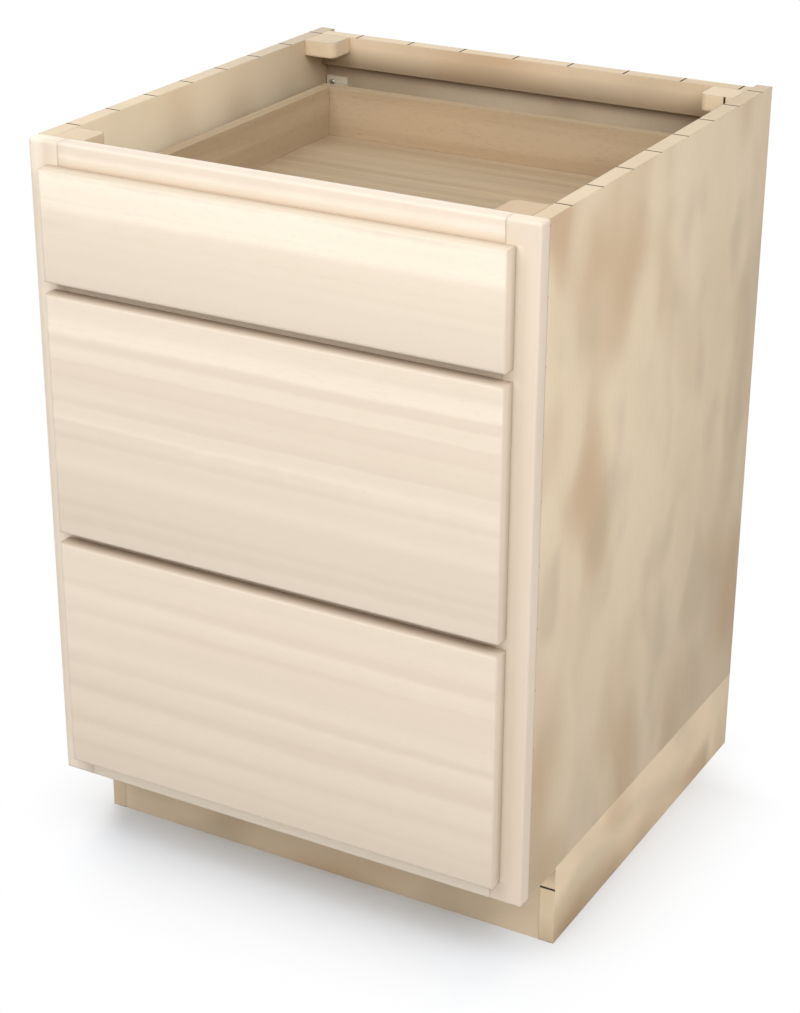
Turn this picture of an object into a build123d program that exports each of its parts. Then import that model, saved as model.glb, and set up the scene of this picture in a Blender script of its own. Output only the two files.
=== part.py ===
from build123d import *
import os

# Base cabinet with three drawers: plywood carcass, solid-wood face frame, slab drawer fronts without
# handles, dovetailed drawer boxes on three-member ball-bearing slides. Millimetres. +Z is up, -Y is the
# front and +X is the right-hand side seen from the front. The origin is the centre of the footprint, on
# the floor.

# ---------------------------------------------------------------- driving dimensions
# carcass
cabinet_width = 609.6
cabinet_depth = 609.6  # face of the frame to the rear edges of the sides
cabinet_height = 876.3
toe_height = 101.6
toe_depth = 88.9  # face of the frame to face of the toe-kick board
side_thickness = 19.05
floor_thickness = 19.05
back_thickness = 12.7
back_recess = 6.35  # rear edges of the sides to the rear of the back panel
dado_depth = 6.35
back_rail_height = 38.1
back_rail_thickness = 19.05
back_lap = 12.7  # height of the back panel that lies in the rabbet of the back rail
rabbet_depth = 6.35
base_rail_thickness = 19.05
toe_board_thickness = 19.05
block_size = 41.3
block_thickness = 19.05
block_corner_radius = 9.5

# face frame
frame_thickness = 19.05
stile_width = 38.1
rail_width = 38.1
top_opening_height = 101.6
frame_edge_radius = 3.2
tenon_length = 12.7
tenon_thickness = 6.35
tenon_shoulder = 6.35

# drawer fronts
front_thickness = 19.05
front_overlay = 12.7
front_edge_radius = 3.2
bumper_diameter = 9.5
bumper_sides = 12
bumper_thickness = 1.5
bumper_clearance = 0.2
bumper_inset = 14.0  # front's upper and lower edges to the bumper centres

# drawer boxes
box_thickness = 15.875
box_lift = 14.3  # top edge of the rail below to the lower edge of the box
top_box_headroom = 11.1  # upper edge of the box to the rail above
deep_box_headroom = 17.45
box_rear_gap = 58.85  # box back to the back panel
box_bottom_thickness = 6.35
box_bottom_lift = 9.5  # lower edge of the box to the underside of its bottom
groove_depth = 6.35
dovetail_pitch = 25.4
dovetail_neck = 12.7  # width of a tail at its root
dovetail_flare = 1.9  # each flank leans out by this much
dovetail_lap = 4.8  # wood left between a tail's tip and the outer face

# ball-bearing slides; depths run from the frame opening towards the drawer box
slide_setback = 3.0  # face of the frame to the front end of the slide
slide_rear_gap = 54.15  # rear end of the slide to the back panel, spanned by the rear socket
slide_shortfall = 8.0  # moving members end this far ahead of the cabinet member
slide_rise = 38.1  # lower edge of the box to the slide's centre line
slide_thickness = 12.7
sheet = 1.2
bend_radius = 1.6
lip = 2.4
ball_space = 3.2
cage_web = 0.6
cage_clearance = 0.3
cage_length = 240.0
cabinet_member_height = 45.0
cabinet_member_depth = 10.0
middle_member_start = 4.0
middle_member_end = 11.2
drawer_member_start = 6.4

# rear sockets of the slides
socket_wall = 2.2
socket_grip = 25.0
socket_lip = 4.7
socket_plate_thickness = 3.0
socket_plate_width = 30.0
socket_plate_height = 66.0
socket_hole_inset = 8.0

# pan-head screws, their heads with eight sides and their shanks with six
screw_head_radius = 3.5
screw_head_height = 1.5
screw_head_sides = 8
screw_shank_radius = 1.8
screw_shank_sides = 6
slide_screw_length = 13.0
front_screw_length = 28.0
socket_screw_length = 12.0
slide_screw_inset = 42.0  # ends of a drawer member to its screws
front_screw_inset = 90.0  # ends of the box front to the front screws
front_screw_low = 31.0  # lower edge of the box to the lower front screws
front_screw_high = 18.0  # upper edge of the box to the upper front screws

# ---------------------------------------------------------------- positions worked out from them
front_gap = bumper_thickness + bumper_clearance
rear = (cabinet_depth + front_gap + front_thickness) / 2
frame_front = rear - cabinet_depth
frame_back = frame_front + frame_thickness
frame_middle = frame_front + frame_thickness / 2
front_back = frame_front - front_gap
front_face = front_back - front_thickness
toe_face = frame_front + toe_depth
back_rear = rear - back_recess
back_front = back_rear - back_thickness
back_rail_rear = back_front + rabbet_depth
back_rail_front = back_rail_rear - back_rail_thickness

half_width = cabinet_width / 2
half_inside = half_width - side_thickness
half_opening = half_width - stile_width
half_front = half_opening + front_overlay
half_box = half_opening - slide_thickness
half_box_inside = half_box - box_thickness

floor_top = toe_height + rail_width
floor_underside = floor_top - floor_thickness
back_rail_underside = cabinet_height - back_rail_height

deep_opening_height = (cabinet_height - toe_height - 4 * rail_width - top_opening_height) / 2
bottom_sill = toe_height + rail_width
middle_sill = bottom_sill + deep_opening_height + rail_width
top_sill = middle_sill + deep_opening_height + rail_width

box_front_outer = front_back
box_front_inner = box_front_outer + box_thickness
box_back_outer = back_front - box_rear_gap
box_back_inner = box_back_outer - box_thickness
top_box_height = top_opening_height - box_lift - top_box_headroom
deep_box_height = deep_opening_height - box_lift - deep_box_headroom

slide_front = frame_front + slide_setback
slide_length = back_front - slide_rear_gap - slide_front
moving_length = slide_length - slide_shortfall
cabinet_half_height = cabinet_member_height / 2
middle_half_height = cabinet_half_height - sheet - ball_space
drawer_half_height = middle_half_height - sheet - ball_space

LEFT, RIGHT = -1, 1

# sill of the opening, height of the opening, height of the box
drawers = {
    "top": (top_sill, top_opening_height, top_box_height),
    "middle": (middle_sill, deep_opening_height, deep_box_height),
    "bottom": (bottom_sill, deep_opening_height, deep_box_height),
}

os.makedirs("parts", exist_ok=True)


# ---------------------------------------------------------------- helpers
def board(x_span, y_span, z_span, mode=Mode.ADD):
    """A square-edged board between two positions on each axis, in the active part."""
    spans = (x_span, y_span, z_span)
    with Locations(tuple((low + high) / 2 for low, high in spans)):
        Box(*(high - low for low, high in spans), mode=mode)


def between(first, second):
    """The two positions in rising order."""
    return min(first, second), max(first, second)


def write(part, name):
    """Labels a finished piece and writes it as one node."""
    part.label = name
    export_step(part, f"parts/{name}.step")


def slide_heights():
    """Centre line of the slides of each drawer."""
    return {name: sill + box_lift + slide_rise for name, (sill, _, _) in drawers.items()}


def pan_head_screw(length):
    """A wood screw along +Z, its head below the plane Z = 0 and its shank `length` long above it."""
    with BuildPart() as screw:
        with BuildSketch(Plane.XY.offset(-screw_head_height)):
            RegularPolygon(screw_head_radius, screw_head_sides)
        extrude(amount=screw_head_height)
        with BuildSketch():
            RegularPolygon(screw_shank_radius, screw_shank_sides)
        extrude(amount=length)
    return screw.part


def pilot_holes(places, length):
    """Cuts the hole of one screw at each place out of the active part."""
    for place in places:
        add(place * pan_head_screw(length), mode=Mode.SUBTRACT)


def placed(part, places):
    """Copies of a part, one at each place."""
    with BuildPart() as group:
        for place in places:
            add(place * part)
    return group.part


# ---------------------------------------------------------------- carcass
def side_panel(hand):
    """A side with its toe-kick notch, floor dado and back groove."""
    inner_face = hand * half_inside
    with BuildPart() as side:
        with BuildSketch(Plane.YZ.offset(inner_face)):
            with BuildLine():
                Polyline(
                    (frame_back, toe_height),
                    (toe_face, toe_height),
                    (toe_face, 0),
                    (rear, 0),
                    (rear, cabinet_height),
                    (frame_back, cabinet_height),
                    close=True,
                )
            make_face()
        extrude(amount=hand * side_thickness)
        housing = between(inner_face, inner_face + hand * dado_depth)
        board(housing, (frame_back, back_front), (floor_underside, floor_top), Mode.SUBTRACT)
        board(
            housing,
            (back_front, back_rear),
            (floor_underside, back_rail_underside + back_lap),
            Mode.SUBTRACT,
        )
    return side.part


def carcass():
    """The plywood case: sides, floor, back, rails, toe-kick board and corner blocks."""
    write(side_panel(LEFT), "side_left")
    write(side_panel(RIGHT), "side_right")

    housed = (-half_inside - dado_depth, half_inside + dado_depth)
    inside = (-half_inside, half_inside)

    with BuildPart() as cabinet_floor:
        board(housed, (frame_back, back_front), (floor_underside, floor_top))
    write(cabinet_floor.part, "cabinet_floor")

    with BuildPart() as back_panel:
        board(housed, (back_front, back_rear), (floor_underside, back_rail_underside + back_lap))
        for slide_height in slide_heights().values():
            pilot_holes(socket_screw_places(slide_height), socket_screw_length)
    write(back_panel.part, "back_panel")

    with BuildPart() as back_rail:
        with BuildSketch(Plane.YZ.offset(-half_inside)):
            with BuildLine():
                Polyline(
                    (back_rail_front, back_rail_underside),
                    (back_front, back_rail_underside),
                    (back_front, back_rail_underside + back_lap),
                    (back_rail_rear, back_rail_underside + back_lap),
                    (back_rail_rear, cabinet_height),
                    (back_rail_front, cabinet_height),
                    close=True,
                )
            make_face()
        extrude(amount=2 * half_inside)
    write(back_rail.part, "back_rail")

    with BuildPart() as rear_base_rail:
        board(inside, (back_front - base_rail_thickness, back_front), (0, floor_underside))
    write(rear_base_rail.part, "rear_base_rail")

    with BuildPart() as toe_kick_board:
        board(inside, (toe_face, toe_face + toe_board_thickness), (0, floor_underside))
    write(toe_kick_board.part, "toe_kick_board")

    with BuildPart() as corner_blocks:
        with BuildSketch(Plane.XY.offset(cabinet_height - block_thickness)):
            for hand in (LEFT, RIGHT):
                for wall_y, inward in ((frame_back, 1), (back_rail_front, -1)):
                    corner = (hand * half_inside, wall_y)
                    opposite = (corner[0] - hand * block_size, corner[1] + inward * block_size)
                    with Locations(((corner[0] + opposite[0]) / 2, (corner[1] + opposite[1]) / 2)):
                        block = Rectangle(block_size, block_size)
                    free_corner = block.vertices().sort_by_distance((*opposite, cabinet_height))[0]
                    fillet(free_corner, block_corner_radius)
        extrude(amount=block_thickness)
    write(corner_blocks.part, "corner_blocks")


# ---------------------------------------------------------------- face frame
def rail_heights():
    """Lower edge of each rail, by the name of its node."""
    return {
        "frame_rail_bottom": toe_height,
        "frame_rail_lower": middle_sill - rail_width,
        "frame_rail_upper": top_sill - rail_width,
        "frame_rail_top": cabinet_height - rail_width,
    }


def tenon(hand, rail_underside, mode):
    """The tenon at one end of a rail, or its mortise."""
    root = hand * half_opening
    board(
        between(root, root + hand * tenon_length),
        (frame_middle - tenon_thickness / 2, frame_middle + tenon_thickness / 2),
        (rail_underside + tenon_shoulder, rail_underside + rail_width - tenon_shoulder),
        mode,
    )


def stile(hand):
    """An upright of the face frame, eased along its outer and upper front edges."""
    middle = hand * (half_width - stile_width / 2)
    with BuildPart() as upright:
        with BuildSketch(Plane.XY.offset(toe_height)) as section:
            with Locations((middle, frame_middle)):
                Rectangle(stile_width, frame_thickness)
            outer_corner = (hand * half_width, frame_front, toe_height)
            fillet(section.vertices().sort_by_distance(outer_corner)[0], frame_edge_radius)
        extrude(amount=cabinet_height - toe_height)
        upper_edges = upright.faces().sort_by(Axis.Z)[-1].edges()
        front_edge = upper_edges.sort_by_distance((middle, frame_front, cabinet_height))[0]
        fillet(front_edge, frame_edge_radius)
        for rail_underside in rail_heights().values():
            tenon(hand, rail_underside, Mode.SUBTRACT)
        for slide_height in slide_heights().values():
            pilot_holes(stile_screw_places(slide_height), slide_screw_length)
    return upright.part


def face_frame():
    """Two stiles and four rails, tenoned together."""
    write(stile(LEFT), "stile_left")
    write(stile(RIGHT), "stile_right")
    for name, rail_underside in rail_heights().items():
        with BuildPart() as rail:
            board(
                (-half_opening, half_opening),
                (frame_front, frame_back),
                (rail_underside, rail_underside + rail_width),
            )
            if name == "frame_rail_top":
                front_edge = rail.edges().sort_by_distance((0, frame_front, cabinet_height))[0]
                fillet(front_edge, frame_edge_radius)
            tenon(LEFT, rail_underside, Mode.ADD)
            tenon(RIGHT, rail_underside, Mode.ADD)
        write(rail.part, name)


# ---------------------------------------------------------------- drawer boxes
def tail_outlines(root, tip, box_underside, box_height):
    """The dovetails at one end of a box side, bottom to top, as four (Y, Z) corners each."""
    count = max(1, round(box_height / dovetail_pitch))
    pitch = box_height / count
    neck, wide = dovetail_neck / 2, dovetail_neck / 2 + dovetail_flare
    centres = [box_underside + (index + 0.5) * pitch for index in range(count)]
    return [
        [(root, centre - neck), (tip, centre - wide), (tip, centre + wide), (root, centre + neck)]
        for centre in centres
    ]


def end_tails(box_underside, box_height):
    """The dovetails of the front and of the back joint of a box side."""
    front_tails = tail_outlines(
        box_front_inner, box_front_outer + dovetail_lap, box_underside, box_height
    )
    back_tails = tail_outlines(
        box_back_inner, box_back_outer - dovetail_lap, box_underside, box_height
    )
    return front_tails, back_tails


def box_bottom_spans(box_underside):
    """The space of a box bottom, with the parts of it that lie in the grooves."""
    underside = box_underside + box_bottom_lift
    return (
        (-half_box_inside - groove_depth, half_box_inside + groove_depth),
        (box_front_inner - groove_depth, box_back_inner + groove_depth),
        (underside, underside + box_bottom_thickness),
    )


def box_side(hand, box_underside, box_height, screw_places):
    """A side of a drawer box, with its tails, the groove for the bottom and the slide's pilot holes."""
    front_tails, back_tails = end_tails(box_underside, box_height)
    top = box_underside + box_height
    outline = [(box_front_inner, box_underside), (box_back_inner, box_underside)]
    outline += [corner for tail in back_tails for corner in tail]
    outline += [(box_back_inner, top), (box_front_inner, top)]
    outline += [corner for tail in reversed(front_tails) for corner in reversed(tail)]
    with BuildPart() as side:
        with BuildSketch(Plane.YZ.offset(hand * half_box_inside)):
            with BuildLine():
                Polyline(*outline, close=True)
            make_face()
        extrude(amount=hand * box_thickness)
        board(*box_bottom_spans(box_underside), Mode.SUBTRACT)
        pilot_holes(screw_places, slide_screw_length)
    return side.part


def box_end(y_span, tails, box_underside, box_height, screw_places):
    """The front or back of a drawer box, with the sockets of both sides' tails."""
    with BuildPart() as end:
        board((-half_box, half_box), y_span, (box_underside, box_underside + box_height))
        for hand in (LEFT, RIGHT):
            with BuildSketch(Plane.YZ.offset(hand * half_box_inside)):
                for tail in tails:
                    with BuildLine():
                        Polyline(*tail, close=True)
                    make_face()
            extrude(amount=hand * box_thickness, mode=Mode.SUBTRACT)
        board(*box_bottom_spans(box_underside), Mode.SUBTRACT)
        pilot_holes(screw_places, front_screw_length)
    return end.part


def front_screw_places(box_underside, box_height):
    """Where the four screws pass through the box front into the drawer front, pointing forwards."""
    heights = (box_underside + front_screw_low, box_underside + box_height - front_screw_high)
    reach = half_box - front_screw_inset
    return [
        Location((x, box_front_inner, z), (90, 0, 0)) for x in (-reach, reach) for z in heights
    ]


def drawer_front(opening_sill, opening_height, screw_places):
    """A slab front with eased edges and blind pilot holes in its back."""
    with BuildPart() as front:
        board(
            (-half_front, half_front),
            (front_face, front_back),
            (opening_sill - front_overlay, opening_sill + opening_height + front_overlay),
        )
        fillet(front.faces().sort_by(Axis.Y)[0].edges(), front_edge_radius)
        pilot_holes(screw_places, front_screw_length)
    return front.part


def bumpers(opening_sill, opening_height):
    """Four small pads behind the corners of a drawer front, over the stiles."""
    reach = half_opening + front_overlay / 2
    low = opening_sill - front_overlay + bumper_inset
    high = opening_sill + opening_height + front_overlay - bumper_inset
    with BuildPart() as pads:
        with BuildSketch(Plane.XZ.offset(-front_back)):
            with Locations(*((x, z) for x in (-reach, reach) for z in (low, high))):
                RegularPolygon(bumper_diameter / 2, bumper_sides)
        extrude(amount=-bumper_thickness)
    return pads.part


# ---------------------------------------------------------------- slides
def section_plane(hand, slide_height, y):
    """The plane of a slide's section: +X into the opening from its edge, the normal towards the rear."""
    origin = (hand * half_opening, y, slide_height)
    return Plane(origin=origin, x_dir=(-hand, 0, 0), z_dir=(0, 1, 0))


def mirrored(upper):
    """A closed outline from its upper half, web side first."""
    return upper + [(depth, -height) for depth, height in reversed(upper)]


def channel_outline(web, tip, half_height, wall, lip_length):
    """A rolled channel: web, two flanges and a lip turned in at the tip of each flange."""
    step = wall if tip > web else -wall
    return mirrored(
        [
            (web + step, half_height - wall),
            (tip - step, half_height - wall),
            (tip - step, half_height - lip_length),
            (tip, half_height - lip_length),
            (tip, half_height),
            (web, half_height),
        ][::-1]
    )


def cage_outline(web, tip, outer_half_height, inner_half_height):
    """A ball cage: a thin web with a ball carrier along each edge."""
    return mirrored(
        [
            (web, outer_half_height),
            (tip, outer_half_height),
            (tip, inner_half_height),
            (web + cage_web, inner_half_height),
        ]
    )


def slide_pair(outline, slide_height, start, length, bends=0.0, screw_places=()):
    """The left and right copies of one slide member, extruded along the travel."""
    with BuildPart() as pair:
        for hand in (LEFT, RIGHT):
            with BuildSketch(section_plane(hand, slide_height, start)) as section:
                with BuildLine():
                    Polyline(*outline, close=True)
                make_face()
                if bends:
                    web = outline[0][0]
                    web_corners = [
                        vertex
                        for vertex in section.sketch_local.vertices()
                        if abs(vertex.X - web) < sheet / 2 and abs(vertex.Y) > sheet
                    ]
                    fillet(web_corners, bends)
            extrude(amount=length)
        pilot_holes(screw_places, slide_screw_length)
    return pair.part


def slides(name, slide_height):
    """The five kinds of slide member of one drawer, in left and right pairs."""
    centre = slide_front + moving_length / 2 - cage_length / 2
    cabinet_member = channel_outline(0, cabinet_member_depth, cabinet_half_height, sheet, lip)
    middle_member = channel_outline(
        middle_member_start, middle_member_end, middle_half_height, sheet, lip
    )
    drawer_member = channel_outline(
        slide_thickness, drawer_member_start, drawer_half_height, sheet, lip
    )
    outer_cage = cage_outline(
        middle_member_start - cage_clearance - cage_web,
        cabinet_member_depth - sheet - cage_clearance,
        cabinet_half_height - sheet - cage_clearance,
        middle_half_height + cage_clearance,
    )
    inner_cage = cage_outline(
        middle_member_start + sheet + cage_clearance,
        middle_member_end - sheet - cage_clearance,
        middle_half_height - sheet - cage_clearance,
        drawer_half_height + cage_clearance,
    )
    stile_screws = stile_screw_places(slide_height)
    box_screws = box_screw_places(slide_height)
    members = {
        "cabinet_members": (cabinet_member, slide_front, slide_length, bend_radius, stile_screws),
        "middle_members": (middle_member, slide_front, moving_length, bend_radius, ()),
        "drawer_members": (drawer_member, slide_front, moving_length, bend_radius, box_screws),
        "outer_cages": (outer_cage, centre, cage_length, 0.0, ()),
        "inner_cages": (inner_cage, centre, cage_length, 0.0, ()),
    }
    for member, (outline, start, length, bends, screw_places) in members.items():
        pair = slide_pair(outline, slide_height, start, length, bends, screw_places)
        write(pair, f"{name}_slide_{member}")


def stile_screw_places(slide_height):
    """Where the front end of each cabinet member is screwed to the stile, pointing outwards."""
    y = frame_middle + slide_setback / 2
    return [
        Location((hand * (half_opening - sheet), y, slide_height), (0, hand * 90, 0))
        for hand in (LEFT, RIGHT)
    ]


def box_screw_places(slide_height):
    """Where each drawer member is screwed to its box side, pointing into the box."""
    ends = (slide_front + slide_screw_inset, slide_front + moving_length - slide_screw_inset)
    return [
        Location((hand * (half_box + sheet), y, slide_height), (0, -hand * 90, 0))
        for hand in (LEFT, RIGHT)
        for y in ends
    ]


# ---------------------------------------------------------------- rear sockets
def socket_screw_places(slide_height):
    """Where the plate of each rear socket is screwed to the back panel, pointing rearwards."""
    plate_edge = half_opening - cabinet_member_depth - socket_wall + socket_plate_width
    x = plate_edge - socket_hole_inset
    rise = socket_plate_height / 2 - socket_hole_inset
    y = back_front - socket_plate_thickness
    return [
        Location((hand * x, y, slide_height + up * rise), (-90, 0, 0))
        for hand in (LEFT, RIGHT)
        for up in (-1, 1)
    ]


def rear_sockets():
    """Moulded sockets that hold the rear ends of the cabinet members, plate against the back panel."""
    grip_start = slide_front + slide_length - socket_grip
    outline = channel_outline(
        -socket_wall,
        cabinet_member_depth + socket_wall,
        cabinet_half_height + socket_wall,
        socket_wall,
        socket_lip,
    )
    plate_start = back_front - socket_plate_thickness
    with BuildPart() as sockets:
        for slide_height in slide_heights().values():
            for hand in (LEFT, RIGHT):
                with BuildSketch(section_plane(hand, slide_height, grip_start)):
                    with BuildLine():
                        Polyline(*outline, close=True)
                    make_face()
                extrude(amount=plate_start - grip_start)
                inner_edge = hand * (half_opening - cabinet_member_depth - socket_wall)
                board(
                    between(inner_edge, inner_edge + hand * socket_plate_width),
                    (plate_start, back_front),
                    (slide_height - socket_plate_height / 2, slide_height + socket_plate_height / 2),
                )
            pilot_holes(socket_screw_places(slide_height), socket_screw_length)
    return sockets.part


carcass()
face_frame()
for name, (sill, opening_height, box_height) in drawers.items():
    box_underside = sill + box_lift
    slide_height = slide_heights()[name]
    front_places = front_screw_places(box_underside, box_height)
    side_places = box_screw_places(slide_height)
    front_tails, back_tails = end_tails(box_underside, box_height)

    write(drawer_front(sill, opening_height, front_places), f"{name}_drawer_front")
    front_span = (box_front_outer, box_front_inner)
    back_span = (box_back_inner, box_back_outer)
    write(box_end(front_span, front_tails, box_underside, box_height, front_places), f"{name}_box_front")
    write(box_end(back_span, back_tails, box_underside, box_height, ()), f"{name}_box_back")
    write(box_side(LEFT, box_underside, box_height, side_places[:2]), f"{name}_box_side_left")
    write(box_side(RIGHT, box_underside, box_height, side_places[2:]), f"{name}_box_side_right")
    with BuildPart() as box_bottom:
        board(*box_bottom_spans(box_underside))
    write(box_bottom.part, f"{name}_box_bottom")
    write(placed(pan_head_screw(front_screw_length), front_places), f"{name}_front_screws")
    write(placed(pan_head_screw(slide_screw_length), side_places), f"{name}_slide_screws")
    write(bumpers(sill, opening_height), f"{name}_bumpers")
    slides(name, slide_height)

stile_places = [place for z in slide_heights().values() for place in stile_screw_places(z)]
socket_places = [place for z in slide_heights().values() for place in socket_screw_places(z)]
write(rear_sockets(), "rear_slide_sockets")
write(placed(pan_head_screw(slide_screw_length), stile_places), "cabinet_slide_screws")
write(placed(pan_head_screw(socket_screw_length), socket_places), "socket_screws")
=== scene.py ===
import logging
import math
from dataclasses import dataclass, field
from enum import Enum

import bmesh
import bpy
from mathutils import Euler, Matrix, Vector


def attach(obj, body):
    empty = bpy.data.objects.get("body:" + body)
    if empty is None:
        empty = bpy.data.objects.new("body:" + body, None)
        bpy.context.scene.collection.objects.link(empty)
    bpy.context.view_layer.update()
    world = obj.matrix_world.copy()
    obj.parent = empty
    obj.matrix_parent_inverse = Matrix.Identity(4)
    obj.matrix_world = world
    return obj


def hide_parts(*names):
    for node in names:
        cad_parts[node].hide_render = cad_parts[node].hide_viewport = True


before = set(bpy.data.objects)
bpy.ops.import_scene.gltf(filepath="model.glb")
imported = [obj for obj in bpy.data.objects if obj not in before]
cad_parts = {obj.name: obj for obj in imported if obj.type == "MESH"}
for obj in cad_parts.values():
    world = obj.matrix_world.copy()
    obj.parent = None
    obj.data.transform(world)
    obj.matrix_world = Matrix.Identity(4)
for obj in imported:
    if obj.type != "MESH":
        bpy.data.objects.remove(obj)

# Base cabinet with three drawers, in unfinished pale wood. Metres, +Z up, -Y the front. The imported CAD
# nodes carry the boards and the slides; this script gives every one of them its finish and adds the
# fasteners, the ball cages, the bumpers and the studio.

log = logging.getLogger("cabinet")

Colour = tuple[float, float, float]
Point = tuple[float, float, float]
Profile = list[tuple[float, float]]
Socket = bpy.types.NodeSocket
Material = bpy.types.Material
Piece = bpy.types.Object

SOFT_EDGE = 0.0003  # width over which a tone with a limit sets in
SKIN = 0.0005  # how far behind an outer face its tone still counts
WAY = "facing"  # attribute of a point: which way its copy looks


def wood_tone(red: int, green: int, blue: int) -> Colour:
    """Turns a colour written in 0-255 display values into the linear values that shaders take.

    Args:
        red: Red, 0 to 255.
        green: Green, 0 to 255.
        blue: Blue, 0 to 255.

    Returns:
        The linear colour.
    """
    def linear(value: float) -> float:
        """Undoes the display curve for one channel."""
        return value / 12.92 if value <= 0.04045 else ((value + 0.055) / 1.055) ** 2.4

    return linear(red / 255), linear(green / 255), linear(blue / 255)


MARK_BROWN = wood_tone(64, 46, 28)
SEAM_TAN = wood_tone(188, 166, 138)

FACE_BRIGHT = wood_tone(255, 243, 223)
FACE_CREAM = wood_tone(252, 239, 220)
FACE_GROUND = wood_tone(247, 232, 213)
FACE_DEEP = wood_tone(232, 216, 196)
FACE_LINE = wood_tone(224, 206, 186)
FACE_BLUSH = wood_tone(243, 226, 210)
FACE_SAGE = wood_tone(238, 225, 203)
# Painted shade on the fronts and rails: at their feet, on eased edges, above the top front and in the
# gaps.
FACE_SOFT_SHADE = wood_tone(218, 202, 184)
FACE_LEDGE_SHADE = wood_tone(200, 185, 167)
TOP_LEDGE_SHADE = wood_tone(223, 208, 189)
FACE_FLANK_SHADE = wood_tone(225, 210, 191)
FACE_CONTACT_SHADOW = wood_tone(216, 194, 168)
FACE_SHADE = wood_tone(158, 140, 121)
LEFT_STILE = wood_tone(255, 243, 225)
RIGHT_STILE = wood_tone(228, 211, 192)
GAP_RAIL = wood_tone(250, 236, 215)
# Brighter than the fronts: painted light against the shade under the bottom front.
FOOT_RAIL = wood_tone(255, 244, 224)
TOP_RAIL = wood_tone(255, 245, 230)

PLY_GROUND = wood_tone(238, 218, 189)
# Painted light on the left side's inner face, towards the front.
PLY_PALE = wood_tone(255, 240, 210)
PLY_DEEP = wood_tone(223, 199, 169)
PLY_BROWN = wood_tone(202, 170, 134)
PLY_GREY = wood_tone(198, 183, 157)
PLY_BAND = wood_tone(242, 218, 187)
PLY_CALM = wood_tone(226, 205, 175)
RAIL_TAN = wood_tone(214, 192, 162)
PLY_FLECK = wood_tone(186, 162, 132)
# Painted shade on the carcass, towards the foot and inside; the stain tone also serves as painted shade.
PLY_FOOT_SHADE = wood_tone(170, 153, 131)
PLY_STAIN_AND_SHADE = wood_tone(172, 143, 110)
PLY_INSIDE_SHADE = wood_tone(132, 110, 86)
EDGE_CREAM = wood_tone(222, 202, 171)
EDGE_TAN = wood_tone(208, 188, 159)
EDGE_LIT = wood_tone(250, 228, 194)

BOX_GROUND = wood_tone(188, 167, 138)
BOX_DEEP = wood_tone(170, 148, 119)
BOX_END = wood_tone(154, 129, 100)


class Axis(Enum):
    """An axis of the cabinet."""

    WIDTH = 0
    DEPTH = 1
    HEIGHT = 2


Limit = tuple[Axis, float, float]  # an axis, and the lowest and highest place on it
INNER_FACES = (Axis.WIDTH, -0.2861, 0.2861)  # the sides' inner faces, without the outer ones
INSIDE = (Axis.DEPTH, 0.0, 0.2985)  # the back's inner faces, without the outer ones


class NodeBench:
    """A node tree that is being wired, with short calls for the nodes that come up often."""

    def __init__(self, tree: bpy.types.NodeTree) -> None:
        """Empties the tree and keeps it."""
        self.tree = tree
        tree.nodes.clear()

    def node(self, kind: str, inputs: dict | None = None, **settings: object) -> bpy.types.Node:
        """Adds a node.

        Args:
            kind: Blender's name of the node type.
            inputs: Input sockets by name or number, each with a value or with the socket that feeds it.
            **settings: Properties of the node.

        Returns:
            The new node.
        """
        made = self.tree.nodes.new(kind)
        for name, value in settings.items():
            setattr(made, name, value)
        for key, value in (inputs or {}).items():
            if isinstance(value, bpy.types.NodeSocket):
                self.tree.links.new(value, made.inputs[key])
            else:
                made.inputs[key].default_value = value
        return made

    def out(self, kind: str, inputs: dict, **settings: object) -> Socket:
        """Adds a node, as node() does, and gives its first output."""
        return self.node(kind, inputs, **settings).outputs[0]

    def split(self, vector: Socket) -> list[Socket]:
        """Gives the three numbers of a vector."""
        return list(self.node("ShaderNodeSeparateXYZ", {0: vector}).outputs)

    def maths(self, operation: str, *values: object, clamp: bool = False) -> Socket:
        """Adds a Math node and returns its output."""
        return self.out("ShaderNodeMath", dict(enumerate(values)), operation=operation, use_clamp=clamp)

    def times(self, first: object, second: object, clamp: bool = False) -> Socket:
        """Multiplies two numbers."""
        return self.maths("MULTIPLY", first, second, clamp=clamp)

    def mix(self, factor: object, first: object, second: object) -> Socket:
        """Mixes two colours.

        Args:
            factor: Share of the second colour.
            first: The first colour.
            second: The second colour.

        Returns:
            The mixed colour.
        """
        def padded(value: object) -> object:
            """Gives a plain colour its alpha."""
            return (*value, 1.0) if isinstance(value, tuple) else value

        inputs = {0: factor, 6: padded(first), 7: padded(second)}
        return self.node("ShaderNodeMix", inputs, data_type="RGBA").outputs[2]

    def range(
        self, value: Socket, low: float, high: float, start: float, end: float, smooth: bool = True
    ) -> Socket:
        """Maps a value from the span low to high onto the span start to end, clamped.

        Args:
            value: The value.
            low: Where the first span begins.
            high: Where it ends.
            start: Where the second span begins.
            end: Where it ends.
            smooth: True to ease in and out of the second span.

        Returns:
            The mapped value.
        """
        inputs = {"Value": value, "From Min": low, "From Max": high, "To Min": start, "To Max": end}
        way = "SMOOTHSTEP" if smooth else "LINEAR"
        return self.out("ShaderNodeMapRange", inputs, interpolation_type=way)


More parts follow.
